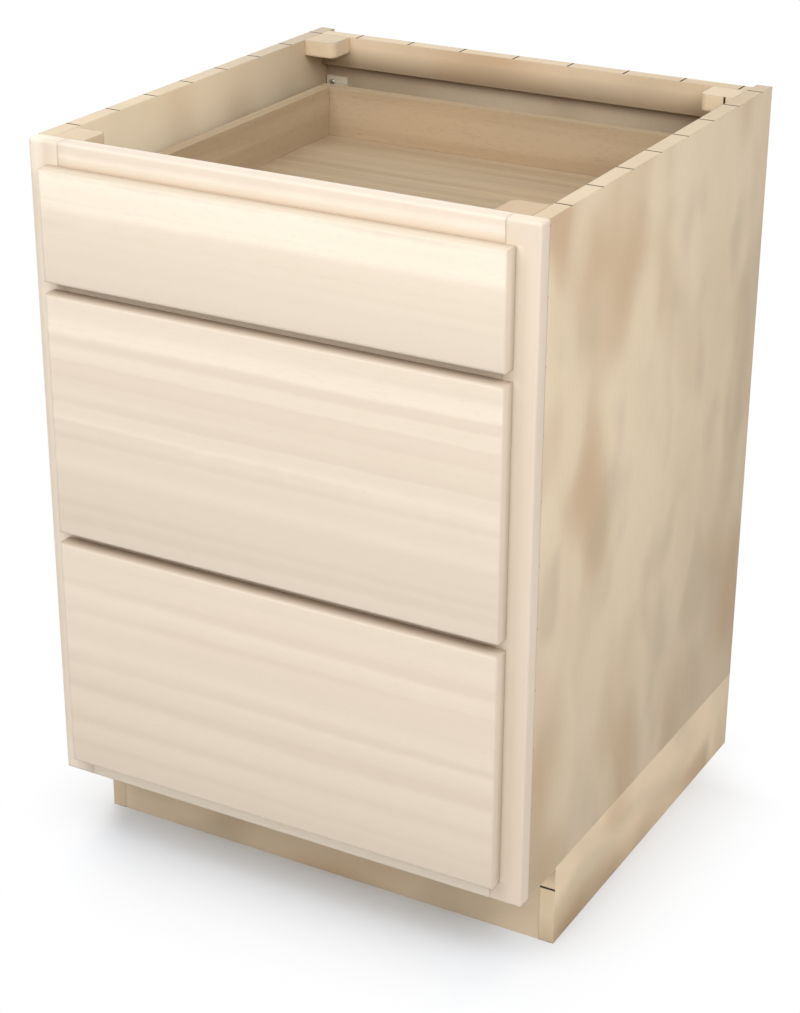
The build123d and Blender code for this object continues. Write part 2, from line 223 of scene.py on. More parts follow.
@dataclass(frozen=True)
class Spot:
    """Where a shader is on its piece.

    Attributes:
        bench: The material's nodes.
        place: Object coordinates.
        along: The same, a number for each axis.
        facing: How squarely the face looks along each axis, whichever way.
    """

    bench: NodeBench
    place: Socket
    along: list[Socket]
    facing: list[Socket]

    @classmethod
    def read(cls, bench: NodeBench) -> "Spot":
        """Reads the coordinates and the normal of the piece.

        Args:
            bench: The material's nodes.

        Returns:
            The spot.
        """
        given = bench.node("ShaderNodeTexCoord").outputs
        turned = bench.out("ShaderNodeVectorMath", {0: given["Normal"]}, operation="ABSOLUTE")
        return cls(bench, given["Object"], bench.split(given["Object"]), bench.split(turned))

    def within(self, share: Socket, limit: Limit | None) -> Socket:
        """Keeps a share inside its limit, and drops it to nothing outside.

        Args:
            share: The share.
            limit: The limit, or None for a share that holds everywhere.

        Returns:
            The limited share.
        """
        if limit is None:
            return share
        axis, low, high = limit
        bench, value = self.bench, self.along[axis.value]
        rise = bench.times(bench.maths("SUBTRACT", value, low), 1 / SOFT_EDGE, clamp=True)
        fall = bench.times(bench.maths("SUBTRACT", high, value), 1 / SOFT_EDGE, clamp=True)
        return bench.times(share, bench.times(rise, fall))


@dataclass(frozen=True)
class Streaks:
    """A noise drawn out along the grain: streaks, bands or blotches.

    Attributes:
        along: Changes per metre along the grain.
        across: Changes per metre across it.
        detail: Number of finer layers.
        roughness: Strength of each finer layer.
        distortion: How far the streaks waver.
    """

    along: float
    across: float
    detail: float = 2.0
    roughness: float = 0.5
    distortion: float = 0.0

    def build(self, spot: Spot, grain: Axis, shift: Point, place: Socket | None = None) -> Socket:
        """Adds the noise to a material.

        Args:
            spot: Where the shader is.
            grain: Axis that the grain runs along.
            shift: Moves the pattern, so that no two boards share it.
            place: Coordinates, where they aren't the spot's own.

        Returns:
            The noise, around 0.5.
        """
        scale = [self.across] * 3
        scale[grain.value] = self.along
        mapped = spot.bench.out("ShaderNodeMapping", {
            "Vector": spot.place if place is None else place,
            "Location": tuple(a * b for a, b in zip(shift, scale)),
            "Scale": scale,
        })
        return spot.bench.out("ShaderNodeTexNoise", {
            "Vector": mapped,
            "Scale": 1.0,
            "Detail": self.detail,
            "Roughness": self.roughness,
            "Distortion": self.distortion,
        })


FIBRE = Streaks(14.0, 700.0, 3.0, 0.6)
PORES = Streaks(500.0, 500.0, 2.0, 0.6)
SWAYS = ((Streaks(5.0, 3.0, 2.0, 0.55), 0.7), (Streaks(38.0, 16.0, 1.0, 0.5), 0.3))  # with their shares


@dataclass(frozen=True)
class Layer:
    """A tone that lies over the wood where a noise is high.

    Attributes:
        tone: The tone.
        streaks: The noise.
        start: Noise where the tone begins.
        full: Noise where the tone is full.
        depth: Share of the tone where it is full.
    """

    tone: Colour
    streaks: Streaks
    start: float
    full: float
    depth: float


FACE_LAYERS = (
    Layer(FACE_DEEP, Streaks(0.25, 22.0, 1.0, 0.5), 0.36, 0.64, 0.65),
    Layer(FACE_LINE, Streaks(0.4, 50.0, 1.0, 0.5), 0.50, 0.70, 0.50),
    Layer(FACE_LINE, Streaks(0.5, 95.0, 1.0, 0.5), 0.54, 0.76, 0.16),
    Layer(FACE_BLUSH, Streaks(2.0, 9.0, 1.0, 0.4), 0.5, 0.7, 0.3),
    Layer(FACE_SAGE, Streaks(2.5, 12.0, 1.0, 0.4), 0.5, 0.7, 0.3),
    Layer(FACE_LINE, Streaks(95.0, 1100.0, 1.0, 0.5), 0.60, 0.72, 0.22),
)
PLY_LAYERS = (
    Layer(PLY_DEEP, Streaks(3.0, 9.0, 2.0, 0.45), 0.36, 0.66, 0.5),
    Layer(PLY_BROWN, Streaks(5.0, 8.0, 1.0, 0.4, 0.1), 0.45, 0.74, 0.80),
    Layer(PLY_GREY, Streaks(9.0, 14.0, 1.0, 0.4, 0.1), 0.48, 0.74, 0.50),
    Layer(PLY_GROUND, Streaks(5.0, 12.0, 1.0, 0.4), 0.54, 0.74, 0.5),
    Layer(PLY_FLECK, Streaks(70.0, 900.0, 1.0, 0.5), 0.60, 0.74, 0.16),
)
BAND_LAYERS = (
    Layer(PLY_BROWN, Streaks(5.0, 9.0, 1.0, 0.4, 0.2), 0.50, 0.74, 0.6),
    Layer(PLY_GREY, Streaks(5.0, 12.0, 1.0, 0.4), 0.50, 0.72, 0.5),
    Layer(PLY_FLECK, Streaks(70.0, 900.0, 1.0, 0.5), 0.60, 0.74, 0.16),
)
BOX_LAYERS = (
    Layer(BOX_DEEP, Streaks(1.2, 34.0, 3.0, 0.5), 0.38, 0.64, 0.8),
    Layer(PLY_BROWN, Streaks(3.0, 10.0, 1.0, 0.4), 0.52, 0.74, 0.3),
    Layer(BOX_END, Streaks(90.0, 1000.0, 1.0, 0.5), 0.58, 0.72, 0.35),
)


@dataclass(frozen=True)
class Fade:
    """A slow change of tone along one axis: mostly painted shade and light, in places the wood's own
    tone.

    Attributes:
        tone: Tone at the full end.
        axis: Axis along which the tone changes.
        start: Place where the change starts.
        end: Place where it is full.
        depth: Share of the tone at the full end.
        limit: Where the tone changes, if not everywhere.
    """

    tone: Colour
    axis: Axis
    start: float
    end: float
    depth: float
    limit: Limit | None = None

    def build(self, spot: Spot) -> Socket:
        """Adds the change to a material.

        Args:
            spot: Where the shader is.

        Returns:
            The tone's share.
        """
        along = spot.along[self.axis.value]
        share = spot.bench.range(along, self.start, self.end, 0.0, self.depth, smooth=False)
        return spot.within(share, self.limit)


@dataclass(frozen=True)
class Turn:
    """Painted shade or painted light on the faces and eased edges that look one way.

    Attributes:
        tone: The tone.
        axis: Axis that they look along.
        start: Part of the normal along the axis where the tone begins, below zero for the other way.
        full: Part of the normal where it is full.
        depth: Share of the tone where it is full.
    """

    tone: Colour
    axis: Axis
    start: float
    full: float
    depth: float

    def build(self, bench: NodeBench, normal: list[Socket]) -> Socket:
        """Gives the tone's share from the numbers of the eased normal."""
        return bench.range(normal[self.axis.value], self.start, self.full, 0.0, self.depth)


@dataclass(frozen=True)
class CrossMarks:
    """Thin lines across a board, at one pitch.

    Attributes:
        axis: Axis along which the lines follow each other.
        first: Place of one line on it.
        pitch: Distance from line to line.
        width: Width of a line.
        facing: Axis that the marked face looks along.
        tone: Tone of the lines.
        depth: Share of that tone.
        limit: Where the lines run, if not right across.
        core: Share of half the width that is fully dark, and share where the line ends.
        square: How squarely a face has to look along the axis to be marked.
    """

    axis: Axis
    first: float
    pitch: float
    width: float
    facing: Axis
    tone: Colour
    depth: float = 1.0
    limit: Limit | None = None
    core: tuple[float, float] = (0.35, 0.6)
    square: float = 0.7

    def build(self, spot: Spot) -> Socket:
        """Adds the lines to a material.

        Args:
            spot: Where the shader is.

        Returns:
            The share of their tone.
        """
        bench = spot.bench
        offset = bench.maths("SUBTRACT", spot.along[self.axis.value], self.first - self.pitch / 2)
        folded = bench.maths("FLOORED_MODULO", offset, self.pitch)
        distance = bench.maths("ABSOLUTE", bench.maths("SUBTRACT", folded, self.pitch / 2))
        dark, end = (share * self.width for share in self.core)
        line = bench.range(distance, dark, end, self.depth, 0.0)
        marked = bench.maths("GREATER_THAN", spot.facing[self.facing.value], self.square)
        return spot.within(bench.times(line, marked), self.limit)


@dataclass(frozen=True)
class Finish:
    """What all the finishes share: a name, and a material with one shader.

    Attributes:
        name: Name of the material.
    """

    name: str

    def inputs(self, spot: Spot) -> dict:
        """Gives the shader's inputs at a spot."""
        raise NotImplementedError

    def build(self) -> Material:
        """Makes the material.

        Returns:
            The material.
        """
        material = bpy.data.materials.new(self.name)
        material.use_nodes = True
        bench = NodeBench(material.node_tree)
        shader = bench.out("ShaderNodeBsdfPrincipled", self.inputs(Spot.read(bench)))
        bench.node("ShaderNodeOutputMaterial", {0: shader})
        return material


@dataclass(frozen=True)
class Wood(Finish):
    """Bare sanded wood: a ground tone under layers of bands, blotches and flecks.

    Attributes:
        grain: Axis that the grain runs along.
        shift: Moves the pattern from board to board.
        ground: Tone of the pale parts.
        layers: The layers, from the lowest.
        waver: How far the layers waver across the grain.
        fades: Slow changes across the board, mostly painted shade and light.
        marks: Lines across the board.
        turns: Painted shade or painted light on the edges that look one way.
        broad_face: Axis that a panel's broad faces look along, where its edges have their own tone.
        edge_tone: Tone of a panel's narrow edges.
        edge_pattern: Share of the board's own pattern that shows on them.
        end_tone: Tone of the end grain, where it shows.
        eased: Radius to which the edges are eased.
        roughness: Roughness of the surface.
    """

    grain: Axis
    shift: Point
    ground: Colour
    layers: tuple[Layer, ...]
    waver: float = 0.0
    fades: tuple[Fade, ...] = ()
    marks: tuple[CrossMarks, ...] = ()
    turns: tuple[Turn, ...] = ()
    broad_face: Axis | None = None
    edge_tone: Colour | None = None
    edge_pattern: float = 0.3
    end_tone: Colour | None = None
    eased: float = 0.0012
    roughness: float = 0.62

    def wavered(self, spot: Spot, grain: Axis) -> Socket:
        """Moves the coordinates across the grain by a slow and a quick noise.

        Args:
            spot: Where the shader is.
            grain: Axis that the grain runs along.

        Returns:
            The moved coordinates.
        """
        if not self.waver:
            return spot.place
        bench = spot.bench
        slow, quick = (
            bench.times(bench.maths("SUBTRACT", streaks.build(spot, grain, self.shift), 0.5), share)
            for streaks, share in SWAYS
        )
        reach = [self.waver] * 3
        reach[grain.value] = 0.0
        sway = {0: tuple(reach), "Scale": bench.maths("ADD", slow, quick)}
        moved = bench.out("ShaderNodeVectorMath", sway, operation="SCALE")
        return bench.out("ShaderNodeVectorMath", {0: spot.place, 1: moved}, operation="ADD")

    def laid(self, spot: Spot, ground: Colour, grain: Axis, layers: tuple[Layer, ...]) -> Socket:
        """Lays layers over a ground tone.

        Args:
            spot: Where the shader is.
            ground: The ground tone.
            grain: Axis that the grain runs along.
            layers: The layers.

        Returns:
            The colour.
        """
        bench, place = spot.bench, self.wavered(spot, grain)
        tone = ground
        for step, layer in enumerate(layers):
            shift = tuple(value + 1.7 * step for value in self.shift)
            noise = layer.streaks.build(spot, grain, shift, place)
            share = bench.range(noise, layer.start, layer.full, 0.0, layer.depth)
            tone = bench.mix(share, tone, layer.tone)
        return tone

    def colour(self, spot: Spot) -> Socket:
        """Gives the colour of the board before its fades and marks.

        Args:
            spot: Where the shader is.

        Returns:
            The colour.
        """
        bench = spot.bench
        tone = self.laid(spot, self.ground, self.grain, self.layers)
        if self.broad_face and self.edge_tone:
            narrow = bench.maths("LESS_THAN", spot.facing[self.broad_face.value], 0.5)
            tone = bench.mix(narrow, tone, bench.mix(self.edge_pattern, self.edge_tone, tone))
        if self.end_tone:
            cut = bench.maths("GREATER_THAN", spot.facing[self.grain.value], 0.8)
            pores = bench.range(PORES.build(spot, self.grain, self.shift), 0.3, 0.7, 0.5, 0.9)
            tone = bench.mix(bench.times(cut, pores), tone, self.end_tone)
        return tone

    def inputs(self, spot: Spot) -> dict:
        """Gives the shader's inputs.

        Args:
            spot: Where the shader is.

        Returns:
            The inputs by name.
        """
        bench = spot.bench
        tone = self.colour(spot)
        rounded = bench.out("ShaderNodeBevel", {"Radius": self.eased}, samples=4)
        normal = bench.split(rounded)
        # Painted shade and light by the way the eased normal looks.
        for turn in self.turns:
            tone = bench.mix(turn.build(bench, normal), tone, turn.tone)
        for part in self.fades + self.marks:
            tone = bench.mix(part.build(spot), tone, part.tone)
        fibre = FIBRE.build(spot, self.grain, self.shift)
        bump = {"Height": fibre, "Strength": 0.10, "Distance": 0.0004, "Normal": rounded}
        return {
            "Base Color": tone,
            "Roughness": bench.range(fibre, 0.3, 0.8, self.roughness - 0.05, self.roughness + 0.08),
            "Specular IOR Level": 0.25,
            "Normal": bench.out("ShaderNodeBump", bump),
        }


@dataclass(frozen=True)
class FaceWood(Wood):
    """The pale wood of the frame and the drawer fronts."""

    layers: tuple[Layer, ...] = FACE_LAYERS
    waver: float = 0.009
    eased: float = 0.0035


@dataclass(frozen=True)
class BoxWood(Wood):
    """The wood of the drawer boxes, with darker end grain in the dovetails."""

    ground: Colour = BOX_GROUND
    layers: tuple[Layer, ...] = BOX_LAYERS
    waver: float = 0.008
    end_tone: Colour | None = BOX_END
    roughness: float = 0.55


@dataclass(frozen=True)
class PlyWood(Wood):
    """The blotched tan plywood of the carcass."""

    ground: Colour = PLY_GROUND
    layers: tuple[Layer, ...] = PLY_LAYERS
    edge_tone: Colour | None = EDGE_CREAM
    roughness: float = 0.66


@dataclass(frozen=True)
class SidePly(PlyWood):
    """Plywood of a side panel, with the lighter band along its foot.

    Attributes:
        band_top: Height of the band's upper edge.
        band_edge: Width over which that edge sets in.
        band_rear: Depth at which the band ends.
        band_fade: Length over which it ends.
        stain_top: Height up to which its lower edge is stained.
        stains: The noise of the stains.
        outer_face: Distance of the outer face from the middle.
    """

    broad_face: Axis | None = Axis.WIDTH
    eased: float = 0.002
    band_top: float = 0.103
    band_edge: float = 0.0015
    band_rear: float = 0.268
    band_fade: float = 0.03
    stain_top: float = 0.06
    stains: Streaks = Streaks(7.0, 5.0, 1.0, 0.4)
    outer_face: float = 0.3048

    def colour(self, spot: Spot) -> Socket:
        """Gives the colour of the panel, with the band.

        Args:
            spot: Where the shader is.

        Returns:
            The colour.
        """
        bench, (across, depth, height) = spot.bench, spot.along
        panel = super().colour(spot)
        band = self.laid(spot, PLY_BAND, Axis.DEPTH, BAND_LAYERS)
        stained = bench.range(self.stains.build(spot, Axis.DEPTH, self.shift), 0.3, 0.6, 0.25, 0.8)
        low = bench.range(height, 0.0, self.stain_top, 1.0, 0.0)
        band = bench.mix(bench.times(stained, low), band, PLY_STAIN_AND_SHADE)
        outside = bench.maths("GREATER_THAN", bench.maths("ABSOLUTE", across), self.outer_face - SKIN)
        below = bench.range(height, self.band_top - self.band_edge, self.band_top, 1.0, 0.0)
        ahead = bench.range(depth, self.band_rear - self.band_fade, self.band_rear, 1.0, 0.0)
        return bench.mix(bench.times(outside, bench.times(below, ahead)), panel, band)


@dataclass(frozen=True)
class Textured(Finish):
    """One tone under faint clouds, with a fine texture.

    Attributes:
        tone: The tone.
        roughness: Roughness of the surface.
        grain: Axis that the texture runs along.
        texture: The texture's noise.
        clouds: The clouds' noise.
        shade: Brightness of the clouds, against the tone.
        depth: Share of the clouds.
        relief: Strength of the texture's bump.
        smoother: How much the roughness falls by the texture.
        rougher: How much it rises.
        metallic: 1 for metal.
        clear: Share of light that passes through.
    """

    tone: Colour
    roughness: float
    grain: Axis
    texture: Streaks
    clouds: Streaks
    shade: float
    depth: float
    relief: float
    smoother: float
    rougher: float
    metallic: float = 0.0
    clear: float = 0.0

    def inputs(self, spot: Spot) -> dict:
        """Gives the shader's inputs.

        Args:
            spot: Where the shader is.

        Returns:
            The inputs by name.
        """
        bench, still = spot.bench, (0.0, 0.0, 0.0)
        fine = self.texture.build(spot, self.grain, still)
        cloud = self.clouds.build(spot, self.grain, still)
        darker = tuple(self.shade * channel for channel in self.tone)
        bump = {"Height": fine, "Strength": self.relief, "Distance": 0.0002}
        low, high = self.roughness - self.smoother, self.roughness + self.rougher
        return {
            "Base Color": bench.mix(bench.range(cloud, 0.35, 0.65, 0.0, self.depth), self.tone, darker),
            "Metallic": self.metallic,
            "Roughness": bench.range(fine, 0.3, 0.7, low, high),
            "Transmission Weight": self.clear,
            "Normal": bench.out("ShaderNodeBump", bump),
        }


@dataclass(frozen=True)
class Steel(Textured):
    """Zinc-plated rolled steel, with fine draw lines along its length."""

    grain: Axis = Axis.DEPTH
    texture: Streaks = Streaks(6.0, 900.0, 3.0, 0.6)
    clouds: Streaks = Streaks(60.0, 60.0, 2.0, 0.5)
    shade: float = 0.82
    depth: float = 0.35
    relief: float = 0.1
    smoother: float = 0.06
    rougher: float = 0.08
    metallic: float = 1.0


@dataclass(frozen=True)
class Moulded(Textured):
    """Moulded nylon or soft plastic with a faint spark-eroded texture."""

    grain: Axis = Axis.WIDTH
    texture: Streaks = Streaks(1500.0, 1500.0, 2.0, 0.5)
    clouds: Streaks = Streaks(40.0, 40.0, 2.0, 0.5)
    shade: float = 0.88
    depth: float = 0.7
    relief: float = 0.15
    smoother: float = 0.05
    rougher: float = 0.05


SHEET_STEEL = Steel("slide_steel", wood_tone(205, 207, 210), 0.34)
SCREW_STEEL = Steel("screw_steel", wood_tone(200, 200, 200), 0.4)
BALL_STEEL = Steel("ball_steel", wood_tone(215, 216, 220), 0.12)
SOCKET_NYLON = Moulded("socket_nylon", wood_tone(214, 203, 180), 0.45)
CAGE_NYLON = Moulded("cage_nylon", wood_tone(46, 46, 48), 0.5)
CLEAR_PAD = Moulded("clear_pad", wood_tone(232, 232, 228), 0.25, clear=0.6)


def dress(node: str, material: Material) -> None:
    """Gives a CAD node its finish and says so in the log.

    Args:
        node: Name of the node.
        material: Its finish.
    """
    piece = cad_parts[node]
    for slot in piece.material_slots:
        slot.material = material
    log.info("dressed %s with %s", node, material.name)


def new_piece(name: str, mesh: bpy.types.Mesh) -> Piece:
    """Puts a mesh into the scene as an object at the origin.

    Args:
        name: Name of the object.
        mesh: The mesh.

    Returns:
        The object.
    """
    piece = bpy.data.objects.new(name, mesh)
    bpy.context.scene.collection.objects.link(piece)
    return piece


def settle(piece: Piece, body: str, node: str | None = None) -> None:
    """Says what a finished piece rides on and which CAD node it replaces, and hides that node.

    Args:
        piece: The piece.
        body: Name of the body.
        node: Name of the node, where it replaces one.
    """
    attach(piece, body)
    if node:
        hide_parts(node)


def smooth(piece: Piece, angle: float) -> None:
    """Shades a piece smooth, with sharp edges where its faces turn by more than an angle in radians."""
    piece.data.shade_smooth()
    piece.data.set_sharp_from_angle(angle=angle)


def turned_shape(name: str, profile: Profile, sides: int) -> bpy.types.Mesh:
    """Turns a profile round the Z axis into a closed mesh.

    Args:
        name: Name of the mesh.
        profile: Radius and height of each ring, from one end to the other; the end rings are capped.
        sides: Number of sides of each ring.

    Returns:
        The mesh, its faces pointing outwards.
    """
    shape = bmesh.new()
    rings = []
    for radius, height in profile:
        ring = [
            shape.verts.new((radius * math.cos(a), radius * math.sin(a), height))
            for a in (2 * math.pi * step / sides for step in range(sides))
        ]
        rings.append(ring)
    for lower, upper in zip(rings, rings[1:]):
        for step in range(sides):
            after = (step + 1) % sides
            shape.faces.new((lower[step], lower[after], upper[after], upper[step]))
    shape.faces.new(list(reversed(rings[0])))
    shape.faces.new(rings[-1])
    bmesh.ops.recalc_face_normals(shape, faces=shape.faces)
    mesh = bpy.data.meshes.new(name)
    shape.to_mesh(mesh)
    shape.free()
    return mesh


@dataclass(frozen=True)
class PanHeadScrew:
    """A cross-recess pan-head wood screw along +Z, its head below Z = 0.

    Attributes:
        length: Length under the head.
        head_radius: Radius of the head.
        head_height: Height of the head.
        crest_radius: Radius over the thread.
        root_radius: Radius under the thread.
        thread_pitch: Distance from crest to crest.
        point_length: Length of the point.
        sides: Number of sides of the turned shape.
        cross_reach: Length of the recess's arms, at the crown and at its floor.
        cross_half: Half their width there.
        cross_floor: Height of the floor, as a share of the head's.
    """

    length: float
    head_radius: float = 0.0035
    head_height: float = 0.0015
    crest_radius: float = 0.0018
    root_radius: float = 0.0013
    thread_pitch: float = 0.0014
    point_length: float = 0.003
    sides: int = 16
    cross_reach: tuple[float, float] = (0.0017, 0.0010)
    cross_half: tuple[float, float] = (0.0004, 0.0002)
    cross_floor: float = 0.25

    def head_profile(self) -> Profile:
        """Gives the head.

        Returns:
            Its profile from the crown to the seat.
        """
        radius, height = self.head_radius, self.head_height
        return [
            (0.62 * radius, -height),
            (0.80 * radius, -0.93 * height),
            (0.94 * radius, -0.72 * height),
            (radius, -0.40 * height),
            (radius, 0.0),
        ]

    def shank_profile(self) -> Profile:
        """Gives the threaded shank.

        Returns:
            Its profile from the seat to the point.
        """
        profile = [(self.root_radius, 0.0)]
        depth = self.thread_pitch
        while depth < self.length - self.point_length:
            profile += [(self.crest_radius, depth), (self.root_radius, depth + 0.3 * self.thread_pitch)]
            depth += self.thread_pitch
        profile += [(self.root_radius, self.length - self.point_length), (0.0002, self.length)]
        return profile

    def cross(self, level: int, height: float) -> list[Point]:
        """Gives the corners of the cross-shaped recess.

        Args:
            level: 0 at the crown, 1 at the floor.
            height: The height there.

        Returns:
            The corners, in order.
        """
        reach, half = self.cross_reach[level], self.cross_half[level]
        quarter = ((reach, half), (half, half), (half, reach))
        corners = []
        for step in range(4):
            cos, sin = math.cos(step * math.pi / 2), math.sin(step * math.pi / 2)
            corners += [(x * cos - y * sin, x * sin + y * cos, height) for x, y in quarter]
        return corners

    def build(self) -> Piece:
        """Makes the screw.

        Returns:
            An object that isn't in the scene, for a Geometry Nodes tree to copy.
        """
        mesh = turned_shape("screw", self.head_profile() + self.shank_profile(), self.sides)
        shape = bmesh.new()
        shape.from_mesh(mesh)
        crown = min(shape.faces, key=lambda face: face.calc_center_median().z)
        rim = list(crown.edges)
        bmesh.ops.delete(shape, geom=[crown], context="FACES_ONLY")
        top, floor = (
            [shape.verts.new(corner) for corner in self.cross(level, -share * self.head_height)]
            for level, share in ((0, 1.0), (1, self.cross_floor))
        )
        walls = list(zip(top, top[1:] + top[:1], floor[1:] + floor[:1], floor))
        lip = [shape.edges.new(wall[:2]) for wall in walls]
        bmesh.ops.triangle_fill(shape, edges=rim + lip, use_beauty=True)
        for wall in walls:
            shape.faces.new(wall)
        shape.faces.new(floor)
        bmesh.ops.recalc_face_normals(shape, faces=shape.faces)
        shape.to_mesh(mesh)
        shape.free()
        return bpy.data.objects.new("screw", mesh)


@dataclass(frozen=True)
class DomePad:
    """A soft stick-on pad: flat at Z = 0 and domed above.

    Attributes:
        radius: Radius of the pad.
        thickness: Thickness at its middle.
        rim: Thickness at its rim, as a share of that.
        rings: Number of rings of the dome.
        sides: Number of sides of the turned shape.
    """

    radius: float = 0.00475
    thickness: float = 0.0015
    rim: float = 0.35
    rings: int = 6
    sides: int = 20

    def build(self) -> Piece:
        """Makes the pad.

        Returns:
            An object that isn't in the scene, for a Geometry Nodes tree to copy.
        """
        profile = [(self.radius, 0.0)]
        for ring in range(1, self.rings + 1):
            angle = ring * math.pi / 2 / (self.rings + 0.5)
            height = self.thickness * (self.rim + (1 - self.rim) * math.sin(angle))
            profile.append((self.radius * math.cos(angle), height))
        return bpy.data.objects.new("pad", turned_shape("pad", profile, self.sides))


class CopyTree(NodeBench):
    """A Geometry Nodes tree that sets copies of a shape on points, with named inputs for its sizes."""

    def __init__(self, name: str, kinds: dict[str, str]) -> None:
        """Makes the tree with its inputs and its output.

        Args:
            name: Name of the tree.
            kinds: Kind of each input by name, such as "Float", besides the points and the finish.
        """
        super().__init__(bpy.data.node_groups.new(name, "GeometryNodeTree"))
        sockets = self.tree.interface
        self.named = {}
        for label, kind in {"Geometry": "Geometry", **kinds, "Finish": "Material"}.items():
            made = sockets.new_socket(label, in_out="INPUT", socket_type="NodeSocket" + kind)
            self.named[label] = made.identifier
        sockets.new_socket("Geometry", in_out="OUTPUT", socket_type="NodeSocketGeometry")
        self.given = self.node("NodeGroupInput").outputs

    def close(self, copies: Socket) -> None:
        """Ends the tree: makes the copies real and gives them their finish.

        Args:
            copies: The copies.
        """
        solid = self.out("GeometryNodeRealizeInstances", {"Geometry": copies})
        inputs = {"Geometry": solid, "Material": self.given["Finish"]}
        self.node("NodeGroupOutput", {0: self.out("GeometryNodeSetMaterial", inputs)})

    def run(
        self, name: str, places: list[Point], values: dict[str, object], ways: list[Point] | None = None
    ) -> Piece:
        """Runs the tree on points, keeps the result as a plain mesh and removes the tree.

        Args:
            name: Name of the finished piece.
            places: The points.
            values: Values of the tree's inputs by name.
            ways: Which way each point's copy looks, where the tree turns them.

        Returns:
            The finished piece.
        """
        points = bpy.data.meshes.new(name + "_points")
        points.from_pydata(places, [], [])
        if ways:
            facing = points.attributes.new(WAY, "FLOAT_VECTOR", "POINT")
            facing.data.foreach_set("vector", [value for way in ways for value in way])
        holder = new_piece(points.name, points)
        modifier = holder.modifiers.new("make", "NODES")
        modifier.node_group = self.tree
        for label, value in values.items():
            modifier[self.named[label]] = value
        graph = bpy.context.evaluated_depsgraph_get()
        mesh = bpy.data.meshes.new_from_object(holder.evaluated_get(graph))
        mesh.name = name
        used = mesh.attributes.get(WAY)
        if used:
            mesh.attributes.remove(used)
        bpy.data.objects.remove(holder)
        bpy.data.node_groups.remove(self.tree)
        log.info("made %s from %d points", name, len(places))
        return new_piece(name, mesh)


@dataclass
class Repeats:
    """Copies of one small shape, each turned the way its point says.

    Attributes:
        name: Name of the finished piece.
        places: Where the copies go.
        directions: Which way each copy's +Z points.
        spin: Largest turn of a copy about its own axis.
        seed: Seed of the turns.
    """

    name: str
    places: list[Point]
    directions: list[Point]
    spin: float = 0.0
    seed: int = 1

    def build(self, shape: Piece, finish: Material) -> Piece:
        """Sets the copies and bakes them into one plain mesh.

        Args:
            shape: The shape to copy, along +Z.
            finish: Its material.

        Returns:
            The finished piece.
        """
        tree = CopyTree("set_copies", {"Shape": "Object", "Spin": "Float", "Seed": "Int"})
        given = tree.given
        facing = tree.out("GeometryNodeInputNamedAttribute", {"Name": WAY}, data_type="FLOAT_VECTOR")
        aimed = tree.out("FunctionNodeAlignRotationToVector", {"Vector": facing}, axis="Z")
        turns = {"Min": 0.0, "Max": given["Spin"], "Seed": given["Seed"]}
        turn = tree.node("FunctionNodeRandomValue", turns).outputs[1]
        spun = tree.out("FunctionNodeAxisAngleToRotation", {"Axis": (0.0, 0.0, 1.0), "Angle": turn})
        both = {"Rotation": aimed, "Rotate By": spun}
        shape_info = tree.node("GeometryNodeObjectInfo", {"Object": given["Shape"]}).outputs
        tree.close(tree.out("GeometryNodeInstanceOnPoints", {
            "Points": given["Geometry"],
            "Instance": shape_info["Geometry"],
            "Rotation": tree.out("FunctionNodeRotateRotation", both, rotation_space="LOCAL"),
        }))
        values = {"Shape": shape, "Finish": finish, "Spin": self.spin, "Seed": self.seed}
        return tree.run(self.name, self.places, values, self.directions)


